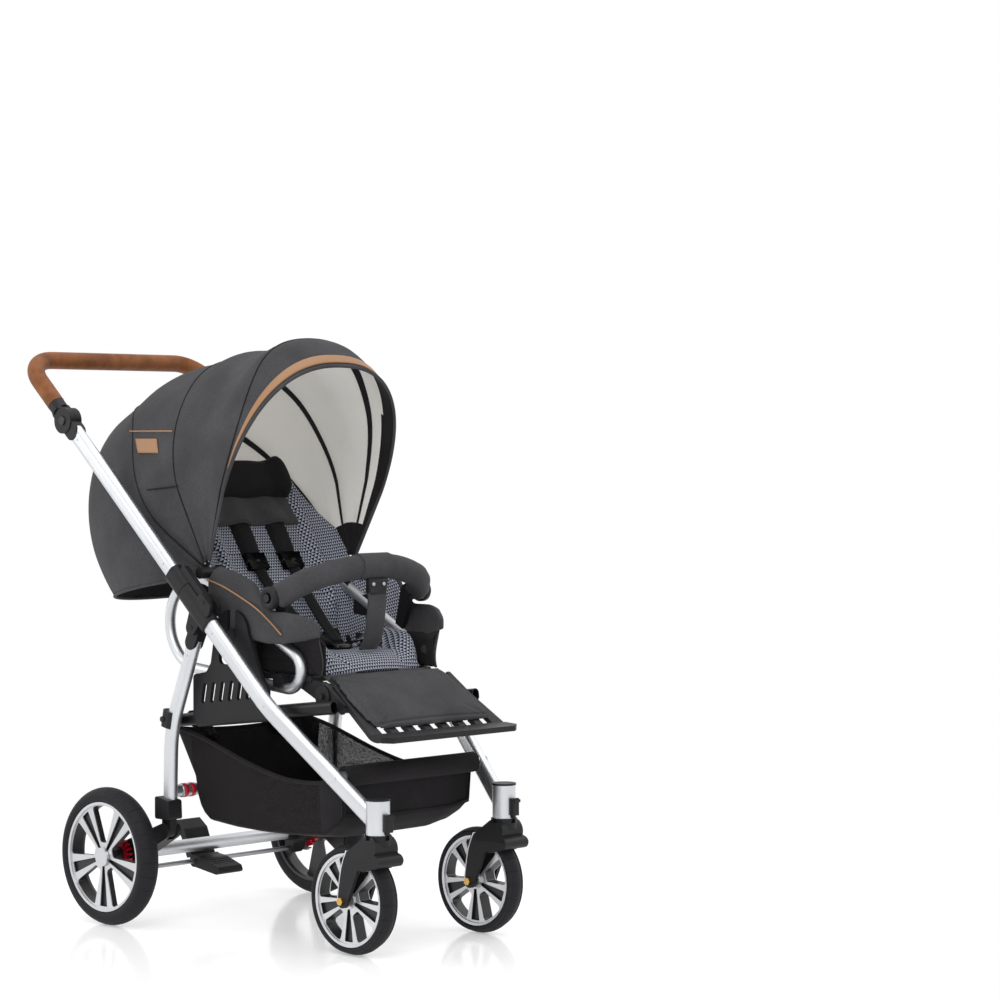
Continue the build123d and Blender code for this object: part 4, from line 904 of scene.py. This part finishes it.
class STROLLER_OT_backrest(bpy.types.Operator):
    """Build the padded backrest with its wings, head pad, shoulder flap and side gussets."""

    bl_idname = "stroller.backrest"
    bl_label = "Backrest"

    def execute(self, context):
        self.pad()
        self.head_pad()
        self.flap()
        for side, name in SIDES:
            self.gusset(side, name)
        return {"FINISHED"}

    def pad(self):
        """Knit pad with raised wings and three sewn channels."""
        middle, half_length, half_width = 238, 200, 141
        edge, swell, wing_height, underside = 3, 20, 30, 0.8
        channels, channel_depth, channel_half = (120, 220, 320), 0.003, 6

        def place(x, y, side):
            a, b = rounded(x, y, 0.22)
            wing = ease(0.74, 0.97, abs(b)) * ease(-0.98, -0.55, x) * ease(1.02, 0.72, x)
            n = edge + swell * dome(x, y, 6, 8) + wing_height * wing if side else underside
            return back(middle + half_length * a, half_width * b, n)

        pad = piece("backrest_cushion", cushion("backrest_cushion", 40, 36, place), ["back_knit"],
                    "backrest")
        origin = back(0, 0, 0)
        normal = back(0, 0, 1000) - origin
        rise = back(1000, 0, 0) - origin
        puff(pad, 0.006, lambda co: (co - origin).dot(normal) < 0.003)

        def channel(co):
            if (co - origin).dot(normal) < 0.01:
                return 0
            h = (co - origin).dot(rise) * 1000
            return channel_depth * groove(min(abs(h - line) for line in channels), channel_half)

        press(pad, channel)
        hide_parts("backrest_pad")

    def head_pad(self):
        """Dark head pad at the top, with ears at its sides."""
        middle, half_length, half_width = 399, 53, 128
        edge, swell, ear_height, underside = 26, 20, 26, 23

        def place(x, y, side):
            a, b = rounded(x, y, 0.3)
            crown = dome(x, y, 4, 6)
            ear = ear_height * ease(0.55, 0.9, abs(y)) * crown ** 0.4
            n = edge + swell * crown + ear if side else underside
            return back(middle + half_length * a, half_width * b, n)

        pad = piece("head_pad", cushion("head_pad", 22, 30, place), ["headrest_microfibre"],
                    "backrest")
        puff(pad, 0.006, lambda co: False)

    def flap(self):
        """Cloth flap with a rolled hem over the upper ends of the shoulder straps."""
        hem_at, tall, half_width = 290, 76, 112
        sewn, loose, over_strap, ripple = 25, 7, 15, 2

        def place(u, v):
            y = -half_width + 2 * half_width * v
            lift = ease(0, 1, groove(min(abs(y - STRAP_Y), abs(y + STRAP_Y)), 44))
            n = sewn + (loose + over_strap * lift + ripple * sin(9 * v + 4 * u)) * (1 - u * u)
            return back(hem_at + tall * u, y, n)

        flap = piece("shoulder_flap", grid("shoulder_flap", 12, 48, place), ["charcoal_canvas"],
                     "backrest")
        thicken(flap, 0.004)
        hem = tube("flap_hem", [place(0.0, step / 16) for step in range(17)], 0.0034, "charcoal_canvas",
                   "backrest", 4)

    def gusset(self, side, name):
        """Gusset between the backrest and the fixed side of the seat, knit on its inner face."""
        low, tall, inner_y, deepest = 14, 410, 136, 0.008
        # share of the height, then the outer edge's place ahead, across and up
        outer = ((0, 250, 160, 548), (0.5, 228, 188, 682), (0.75, 205, 192, 745), (1, 165, 190, 800))

        def place(u, v):
            inner = back(low + tall * v, side * inner_y, 2 + 28 * ease(0.12, 0.4, v))
            x, y, z = (between([(row[0], row[k]) for row in outer], v) for k in (1, 2, 3))
            droop = deepest * sin(pi * u) * (0.2 + v)
            return inner.lerp(at(x, side * y, z), u) - Vector((0, 0, droop))

        mesh = grid(f"gusset_{name}", 24, 36, place, away=at(150, side * 600, 700))
        sheet = piece(f"gusset_{name}", mesh, ["side_knit", "charcoal_canvas"])
        thicken(sheet, 0.003, inside=1)
        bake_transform(sheet)


class STROLLER_OT_seat(bpy.types.Operator):
    """Build the seat pad, the tub sides and the side walls."""

    bl_idname = "stroller.seat"
    bl_label = "Seat"

    def execute(self, context):
        self.pad()
        for side, name in SIDES:
            self.tub(side, name)
        for side, name in SIDES:
            self.wall(side, name)
            self.skirt(side, name)
            self.piping(side, name)
        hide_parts("seat_walls")
        return {"FINISHED"}

    def pad(self):
        """Knit pad with raised sides, a rolled front edge and sewn channels."""
        middle, ahead, behind, half_width = 387, 114, 122, 148
        edge, swell, bolster, front_drop, underside = 532, 28, 58, 12, 528
        channels, side_channel = (308, 352, 396), 92

        def place(x, y, side):
            a, b = rounded(x, y, 0.5 if x > 0 else 0.15)
            along = middle + (ahead if x > 0 else behind) * a
            front = ease(440, 510, along)
            rim = ease(0.58, 0.9, abs(b)) * (1 - 0.45 * front) * ease(262, 340, along)
            z = underside - 8 * front
            if side:
                z = edge + (swell + bolster * rim) * dome(x, y, 8, 8) - front_drop * front ** 2
            return at(along, half_width * b, z)

        pad = piece("seat_cushion", cushion("seat_cushion", 36, 40, place), ["seat_knit"],
                    "seat")
        puff(pad, 0.006, lambda co: co.z < 0.53 and co.x < AXLE_X + 0.46)

        def channel(co):
            if co.z < 0.54:
                return 0
            x = (co.x - AXLE_X) * 1000
            y = abs(co.y) * 1000
            lines = 0.0025 * groove(min(abs(x - line) for line in channels), 5) * (y < side_channel)
            return lines + 0.0035 * groove(abs(y - side_channel + 0.22 * (x - 400)), 6)

        press(pad, channel)
        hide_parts("seat_pad")

    def tub(self, side, name):
        """Cloth from the top of a side wall down to the seat pad, knit behind and charcoal in front."""
        rear, span, base, front_drop = 212, 286, 552, 26
        wall_y, inwards, bulge, tuck = 188, 30, 5, 22
        top = ((204, 700), (236, 724), (300, 712), (350, 694), (372, 662), (400, 644), (440, 644),
               (470, 638), (498, 626))

        def place(u, v):
            x = rear + span * u
            high = between(top, x)
            low = base - front_drop * ease(0.86, 1.0, u)
            y = wall_y - inwards * ease(0.0, 1.0, v) - bulge * sin(pi * v)
            y -= tuck * ease(440, 505, x) * (1 - v)
            return at(x + 8 * v * (1 - u), side * y, high + (low - high) * v ** 0.9)

        mesh = grid(f"tub_side_{name}", 40, 24, place, lambda u, v: 0 if u < 0.6 else 1,
                    at(356, side * 600, 640))
        sheet = piece(f"tub_side_{name}", mesh,
                      ["side_knit", "charcoal_canvas", "black_nylon", "black_nylon"],
                      "seat")
        thicken(sheet, 0.004, 0, 2)

    def skirt(self, side, name):
        """Gathered black cloth from the lower edge of a side wall to the seat board."""
        rear, span, high, drop = 262, 236, 606, 78
        inside_hoop, to_wall, front_tuck = 157, 22, 12

        def place(u, v):
            x = rear + span * u
            z = high - drop * v
            gather = (1 + sin(x / 5)) * ease(0.7, 0.95, u)
            y = inside_hoop + to_wall * ease(583, high, z) - front_tuck * ease(470, 505, x) - gather
            return at(x, side * y, z)

        sheet = piece(f"seat_skirt_{name}", grid(f"seat_skirt_{name}", 60, 14, place), ["black_nylon"],
                      "seat")
        thicken(sheet, 0.003, 0)

    def wall(self, side, name):
        """Soft side wall that rolls out over the hoop."""
        middle, half_length = 356, 150
        outer_y, inner_y, roll, front_swell, front_tuck = 196.5, 192.5, 7.5, 10, 26
        top = ((206, 700), (222, 724), (240, 735), (300, 722), (350, 703), (372, 668), (396, 650),
               (440, 650), (470, 645), (494, 635), (506, 622))
        low = ((206, 690), (228, 640), (262, 598), (330, 592), (383, 586), (430, 588), (470, 594),
               (506, 604))

        def place(x, y, face):
            along = middle + half_length * x
            high = between(top, along)
            base = between(low, along)
            z = (high + base) / 2 + (high - base) / 2 * y
            crown = dome(x, y, 8, 4)
            free = ease(648, 676, z)
            ahead = ease(425, 470, along)
            tuck = front_tuck * ease(440, 506, along)
            creases = 1.6 * sin(along / 9) * ahead
            outer = outer_y + (1.6 + roll * free + front_swell * ahead + creases) * crown - tuck
            inner = inner_y - 5 * crown - tuck
            return at(along, side * (outer if face else inner), z)

        wall = piece(f"side_wall_{name}", cushion(f"side_wall_{name}", 46, 16, place), ["charcoal_canvas"],
                     "seat")
        soften(wall)
        return wall

    def piping(self, side, name):
        """Tan piping on the outer face of a side wall."""
        line = [at(212, side * 203.5, 706), at(250, side * 206.5, 700), at(310, side * 207, 678),
                at(362, side * 204, 655), at(412, side * 203.5, 622), at(432, side * 203, 606)]
        tube(f"wall_piping_{name}", line, 0.0017, "tan_leather", "seat")


class STROLLER_OT_harness(bpy.types.Operator):
    """Build shoulder pads, webbing, adjusters, belt and buckle."""

    bl_idname = "stroller.harness"
    bl_label = "Harness"

    def execute(self, context):
        width = context.scene.stroller_sizes.webbing
        for side, name in SIDES:
            self.shoulder_pad(side, name)
            self.adjuster(side, name)
            self.webs(side, name, width)
        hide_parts("shoulder_straps")
        self.buckle()
        return {"FINISHED"}

    def shoulder_pad(self, side, name):
        """Padded cover on a shoulder strap."""
        middle, half_length, half_width = 268, 58, 27

        def place(x, y, face):
            a, b = rounded(x, y, 0.35)
            n = 28 + (13 * dome(x, y, 6, 4) if face else 0)
            return back(middle + half_length * a, side * STRAP_Y + half_width * b, n)

        pad = piece(f"shoulder_pad_{name}", cushion(f"shoulder_pad_{name}", 20, 10, place),
                    ["headrest_microfibre"], "backrest")
        soften(pad)
        return pad

    def webs(self, side, name, width):
        """Webbing from a shoulder pad and from a side of the seat to the buckle."""
        thick = 0.002
        line = [back(214, side * STRAP_Y, 35), back(190, side * STRAP_Y, 36), back(140, side * 45, 40),
                at(262, side * 38, 648), at(318, side * 28, 598), at(358, side * 17, 579)]
        web = strap(f"shoulder_web_{name}", line, width, thick, Vector((0.25, 1, 0)).normalized(),
                    "harness_webbing")
        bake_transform(web)
        belt = [at(318, side * 150, 596), at(346, side * 112, 580), at(364, side * 60, 576),
                at(372, side * 20, 576)]
        strap(f"lap_belt_{name}", belt, width, thick, Vector((0.9, 0, 0.25)).normalized(),
              "harness_webbing", "seat")

    def adjuster(self, side, name):
        """Moulded slide with a sunk window at the lower end of a shoulder pad."""
        middle, tall, wide, thick, out = 200, 32, 48, 9, 36

        def place(co):
            return back(middle + tall * co.x, side * STRAP_Y + wide * co.y, out + thick * co.z)

        bm = block(place, 0.003)
        normal = (back(0, 0, 1000) - back(0, 0, 0)).normalized()
        face = max(bm.faces, key=lambda item: item.calc_area() * item.normal.dot(normal))
        bmesh.ops.inset_individual(bm, faces=[face], thickness=0.005, depth=0.0)
        bmesh.ops.inset_individual(bm, faces=[face], thickness=0.001, depth=-0.0025)
        piece(f"adjuster_{name}", meshed(bm, "adjuster"), ["polished_nylon"], "backrest")

    def buckle(self):
        """Central buckle: a rounded shell round the push button."""
        middle, base, half_length, half_width = 374, 568, 28, 25
        crown, hollow_depth, hollow_edge, hollow_floor = 9, 9, 13.5, 10.2
        bm = bmesh.new()
        bmesh.ops.create_grid(bm, x_segments=16, y_segments=16, size=1.0)
        for vert in bm.verts:
            a, b = rounded(vert.co.x, vert.co.y, 0.55)
            from_middle = ((27 * a) ** 2 + (half_width * b) ** 2) ** 0.5
            hollow = ease(hollow_edge, hollow_floor, from_middle)
            z = base + crown * dome(vert.co.x, vert.co.y, 6, 6) - hollow_depth * hollow
            vert.co = at(middle + half_length * a, half_width * b, z)
        mesh = meshed(bm, "buckle", outwards=True)
        shell = piece("buckle_shell", mesh, ["polished_nylon"], "seat")
        thicken(shell, 0.004, 1 if mesh.polygons[0].normal.z < 0 else -1)
        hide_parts("harness_belt")


class STROLLER_OT_bumper(bpy.types.Operator):
    """Build the padded bumper bar with its sleeve, end discs and crotch strap."""

    bl_idname = "stroller.bumper"
    bl_label = "Bumper bar"

    def execute(self, context):
        self.bar()
        for side, name in SIDES:
            self.end(side, name)
        line = [at(489, 0, 712), at(490, 0, 690), at(488, 0, 650), at(483, 0, 614), at(476, 0, 586),
                at(462, 0, 570)]
        strip = strap("crotch_strap_web", line, 0.047, 0.0045, ACROSS, "charcoal_canvas",
                      "bumper")
        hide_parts("crotch_strap")
        self.clip()
        return {"FINISHED"}

    def bar(self):
        """Padded cover on the bar, and the wider sleeve at its middle."""
        half = [at(408, -188, 680), at(424, -181, 689), at(449, -152, 711), at(467, -92, 727),
                at(474, -46, 734)]
        line = [*half, at(476, 0, 736), *[Vector((point.x, -point.y, point.z)) for point in reversed(half)]]
        bar = tube("bumper_cover", line, 0.0248, "charcoal_canvas", "bumper", 10)
        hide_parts("bumper_bar")
        sleeve = tube("bumper_sleeve", [at(475.2, y, 735) for y in (-42, -40, -20, 0, 20, 40, 42)], 0.0266,
                      "charcoal_canvas", "bumper", 6)

    def end(self, side, name):
        """Moulded end disc that turns on the seat, with a raised rim round the button."""
        profile = ((0.0095, 0.0145), (0.0125, 0.0155), (0.0165, 0.0165), (0.0205, 0.0158), (0.0226, 0.0135),
                   (0.023, 0.008), (0.0226, 0.0012), (0.0095, 0.0012))
        mesh = turned("bumper_end", at(404, side * 199.6, 677), side, profile, 48, closed=True)
        piece(f"bumper_end_{name}", mesh, ["moulded_nylon"], "bumper")

    def clip(self):
        """Clip on the crotch strap under the sleeve, with two rivets."""
        lean, thick, wide, tall = radians(-6), 13, 54, 32
        rivet_y, rivet_radius = 14, 0.0042

        def place(co):
            taper = 1 - 0.14 * (co.z < 0)
            dx = thick * co.x * cos(lean) - tall * co.z * sin(lean)
            dz = thick * co.x * sin(lean) + tall * co.z * cos(lean)
            return at(488 + dx, wide * co.y * taper, 695 + dz)

        bm = block(place, 0.0035)
        face = max(bm.faces, key=lambda item: item.calc_area() * (item.normal.x > 0.5))
        bmesh.ops.inset_individual(bm, faces=[face], thickness=0.004, depth=-0.001)
        piece("crotch_clip", meshed(bm, "crotch_clip"), ["moulded_nylon"], "bumper")
        for side, name in SIDES:
            bm = bmesh.new()
            bmesh.ops.create_uvsphere(bm, u_segments=20, v_segments=10, radius=rivet_radius)
            for vert in bm.verts:
                vert.co = at(494.5, side * rivet_y, 700) + Vector((vert.co.x * 0.5, vert.co.y, vert.co.z))
            piece(f"clip_rivet_{name}", meshed(bm, "clip_rivet"), ["plated_steel"], "bumper")


class STROLLER_OT_footrest(bpy.types.Operator):
    """Build the padded footrest cover with its stitched border."""

    bl_idname = "stroller.footrest"
    bl_label = "Footrest"

    def execute(self, context):
        self.pad()
        self.apron()
        return {"FINISHED"}

    def pad(self):
        """Cover that widens towards its front, with a line sewn inside its edge."""
        middle, half_length = 60, 86
        edge, swell, underside = 29, 9, 26.6
        inset, line_half, line_depth = 14, 4, 0.0024
        hinge = foot(0, 0, 0)
        normal = foot(0, 0, 1000) - hinge
        down = foot(1000, 0, 0) - hinge

        def half_width(d):
            return 158 + 10 * (d + 20) / 150

        def place(x, y, side):
            a, b = rounded(x, y, 0.3)
            d = middle + half_length * a
            return foot(d, half_width(d) * b, edge + swell * dome(x, y, 8, 10) if side else underside)

        pad = piece("footrest_cushion", cushion("footrest_cushion", 36, 60, place), ["charcoal_canvas"],
                    "footrest")
        puff(pad, 0.004, lambda co: (co - hinge).dot(normal) < 0.0285)

        def border(co):
            if (co - hinge).dot(normal) < 0.03:
                return 0
            d = (co - hinge).dot(down) * 1000
            from_edge = min(half_width(d) - abs(co.y) * 1000, middle + half_length - d)
            return line_depth * groove(abs(from_edge - inset), line_half)

        press(pad, border)
        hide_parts("footrest_pad")

    def apron(self):
        """Cloth from under the front of the seat pad to the footrest cover."""
        half_width = 146

        def place(u, v):
            y = -half_width + 2 * half_width * v
            sag = 0.004 * sin(pi * u)
            return at(490, y, 527).lerp(foot(16, y * 1.02, 31), u) - Vector((0, 0, sag))

        sheet = piece("footrest_apron", grid("footrest_apron", 12, 40, place, away=at(500, 0, 300)),
                      ["charcoal_canvas"])
        thicken(sheet, 0.003)
        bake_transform(sheet)


class STROLLER_OT_basket(bpy.types.Operator):
    """Build the basket as a sagging shell with mesh sides, a front roll and hanging loops."""

    bl_idname = "stroller.basket"
    bl_label = "Basket"

    # height of the upper edge and of the floor at places ahead of the rear axle, in mm
    top = ((76, 402), (140, 391), (216, 369), (300, 343), (400, 321), (480, 318), (540, 325), (582, 344))
    floor = ((76, 394), (138, 294), (144, 258), (156, 230), (180, 214), (260, 208), (340, 206), (440, 209),
             (513, 214), (552, 236), (582, 262))
    wall = 0.0022

    def execute(self, context):
        shell = piece("basket_bag", grid("basket_bag", 60, 72, self.section, self.finish_at),
                      ["black_nylon", "basket_mesh"])
        thicken(shell, self.wall)
        pushed = [shell, self.end("basket_back", 80, 388, 402)]
        for side, name in SIDES:
            hem = [at(x, side * 175.5, between(self.top, x))
                   for x in (78, 140, 216, 300, 400, 480, 540, 574)]
            pushed.append(tube(f"basket_hem_{name}", hem, 0.0042, "black_nylon"))
        trims = [*pushed[1:], self.end("basket_front", 574, 254, 338, "front_frame")]
        trims.append(tube("basket_roll", [at(582, y, 340) for y in (-176, -168, -90, 0, 90, 168, 176)],
                          0.0205, "black_nylon", "front_frame", 8))
        for side, name in SIDES:
            trims.append(self.loop(side * 90, name))
        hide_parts("basket")
        for obj in pushed:
            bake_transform(obj)
        return {"FINISHED"}

    def section(self, u, v):
        """Point of the bag: u runs forward, v across it from one upper edge to the other."""
        rear, length, half_floor, flare = 78, 500, 168, 7
        slack, ripple, edge_rise = 5, 3, 8
        x = rear + length * u
        high = between(self.top, x)
        base = between(self.floor, x)
        turn = 2 * v - 1
        reach = abs(turn)
        lift = ease(0.6, 1.0, reach)
        across = half_floor * min(1, reach / 0.62) ** 0.8 + flare * lift
        sag = slack * sin(pi * u) * (1 - reach) + ripple * sin(u * 21) * lift * (1 - lift)
        z = base + (high - base) * lift + (edge_rise * ease(0.35, 0.62, reach) - sag) * (1 - lift)
        return at(x, across if turn > 0 else -across, z)

    def finish_at(self, u, v):
        """Mesh on the sides except near both ends, nylon elsewhere."""
        return 1 if abs(2 * v - 1) > 0.64 and 0.1 < u < 0.86 else 0

    def end(self, name, x, base, high, body=None):
        """Cloth that closes one end of the basket."""
        half_width = 174
        slack = 10 if name == "basket_back" else 0

        def place(u, v):
            y = -half_width + 2 * half_width * u
            dip = slack * (1 - (y / half_width) ** 2)
            low = base + 10 * (abs(y) / half_width) ** 4 - 4
            return at(x + 2 * sin(pi * u), y, low + (high - low - dip) * v)

        sheet = piece(name, grid(name, 40, 10, place), ["black_nylon"], body)
        thicken(sheet, self.wall)
        return sheet

    def loop(self, y, name):
        """Webbing loop that hangs the back of the basket from the carrier tube."""
        line = [at(96, y, 378), at(76, y, 396), at(54, y, 421), at(38, y, 428), at(24, y, 414),
                at(34, y, 398), at(66, y, 390), at(94, y, 370)]
        return strap(f"basket_loop_{name}", line, 0.027, 0.002, ACROSS, "harness_webbing",
                     "front_frame")


class STROLLER_OT_stage(bpy.types.Operator):
    """Set up floor, light and camera."""

    bl_idname = "stroller.stage"
    bl_label = "Stage"

    def execute(self, context):
        scene = context.scene
        scene.view_settings.view_transform = "Standard"
        self.camera(scene)
        self.floor(scene)
        self.world(scene)
        self.lights(scene)
        return {"FINISHED"}

    def camera(self, scene):
        """Camera in front of the stroller on its right, looking slightly down."""
        camera = bpy.data.cameras.new("camera")
        camera.lens = 102.67
        camera.sensor_fit = "HORIZONTAL"
        camera.clip_end = 60
        holder = bpy.data.objects.new("camera", camera)
        holder.location = at(4574.5, -3907.5, 982.2)
        holder.rotation_euler = (radians(90 - 1.174), 0, radians(43.803))
        scene.collection.objects.link(holder)
        scene.camera = holder

    def lights(self, scene):
        """Four wide lamps round the stroller: place and size in metres, power in watts."""
        target = Vector((0, 0, 0.55))
        for name, place, size, power in (
            ("key_light", (2.2, -3.2, 3.4), 3.0, 72),
            ("top_light", (0.2, 0.0, 4.2), 3.4, 60),
            ("side_light", (-3.0, -2.6, 2.2), 2.4, 30),
            ("far_light", (1.5, 3.6, 2.6), 3.0, 30),
        ):
            lamp = bpy.data.lights.new(name, "AREA")
            lamp.size = size
            lamp.energy = power
            spot = bpy.data.objects.new(name, lamp)
            spot.location = place
            spot.rotation_euler = (target - Vector(place)).to_track_quat("-Z", "Y").to_euler()
            scene.collection.objects.link(spot)

    def floor(self, scene):
        """Pale sealed floor that keeps the contact shadow and turns plain white further out."""
        radius, shadow_to, white_from = 14, 0.5, 1.7
        tree, shader, place = begin(
            "sealed_floor", Base_Color=linear("#F2F2F2"), Roughness=0.13, IOR=1.22, Emission_Color=WHITE,
            Emission_Strength=0.37)
        reach = add(tree, "ShaderNodeVectorMath", {0: place}, operation="LENGTH")
        fade = add(
            tree, "ShaderNodeMapRange",
            {"Value": reach.outputs["Value"], "From Min": shadow_to, "From Max": white_from},
            interpolation_type="SMOOTHSTEP")
        glow = add(tree, "ShaderNodeEmission", {"Color": WHITE, "Strength": 1.0})
        both = add(
            tree, "ShaderNodeMixShader", {0: fade.outputs[0], 1: shader.outputs[0], 2: glow.outputs[0]})
        feed(tree, tree.nodes["Material Output"], Surface=both.outputs[0])
        bm = bmesh.new()
        bmesh.ops.create_circle(bm, cap_ends=True, segments=96, radius=radius)
        mesh = meshed(bm, "floor")
        mesh.materials.append(bpy.data.materials["sealed_floor"])
        floor = bpy.data.objects.new("floor", mesh)
        scene.collection.objects.link(floor)

    def world(self, scene):
        """White behind the object and in reflections, softer light on surfaces."""
        world = bpy.data.worlds.new("studio")
        world.use_nodes = True
        scene.world = world
        tree = world.node_tree
        soft = tree.nodes["Background"]
        soft.inputs["Color"].default_value = WHITE
        soft.inputs["Strength"].default_value = 0.42
        white = add(tree, "ShaderNodeBackground", {"Color": WHITE, "Strength": 1.0})
        path = add(tree, "ShaderNodeLightPath")
        seen = add(
            tree, "ShaderNodeMath",
            {0: path.outputs["Is Camera Ray"], 1: path.outputs["Is Transmission Ray"]}, operation="MAXIMUM")
        shown = add(
            tree, "ShaderNodeMath", {0: seen.outputs[0], 1: path.outputs["Is Glossy Ray"]},
            operation="MAXIMUM")
        both = add(
            tree, "ShaderNodeMixShader", {0: shown.outputs[0], 1: soft.outputs[0], 2: white.outputs[0]})
        feed(tree, tree.nodes["World Output"], Surface=both.outputs[0])


class STROLLER_PT_panel(bpy.types.Panel):
    """Sizes, colours and buttons for the pieces of the stroller."""

    bl_label = "Stroller"
    bl_idname = "STROLLER_PT_panel"
    bl_space_type = "VIEW_3D"
    bl_region_type = "UI"
    bl_category = "Stroller"

    def draw(self, context):
        for group in (context.scene.stroller_colours, context.scene.stroller_sizes):
            for key in type(group).__annotations__:
                self.layout.prop(group, key)
        for operator in OPERATORS:
            self.layout.operator(operator.bl_idname)


OPERATORS = (
    STROLLER_OT_finishes, STROLLER_OT_stage, STROLLER_OT_frame, STROLLER_OT_canopy, STROLLER_OT_backrest,
    STROLLER_OT_seat, STROLLER_OT_harness, STROLLER_OT_bumper, STROLLER_OT_footrest, STROLLER_OT_basket,
)
CLASSES = (StrollerColours, StrollerSizes, *OPERATORS, STROLLER_PT_panel)


def register():
    for item in CLASSES:
        bpy.utils.register_class(item)
    bpy.types.Scene.stroller_colours = bpy.props.PointerProperty(type=StrollerColours)
    bpy.types.Scene.stroller_sizes = bpy.props.PointerProperty(type=StrollerSizes)


def unregister():
    del bpy.types.Scene.stroller_colours
    del bpy.types.Scene.stroller_sizes
    for item in reversed(CLASSES):
        bpy.utils.unregister_class(item)


def main():
    """Build every piece in order."""
    register()
    for operator in OPERATORS:
        group, name = operator.bl_idname.split(".")
        getattr(getattr(bpy.ops, group), name)()


if __name__ == "__main__":
    main()
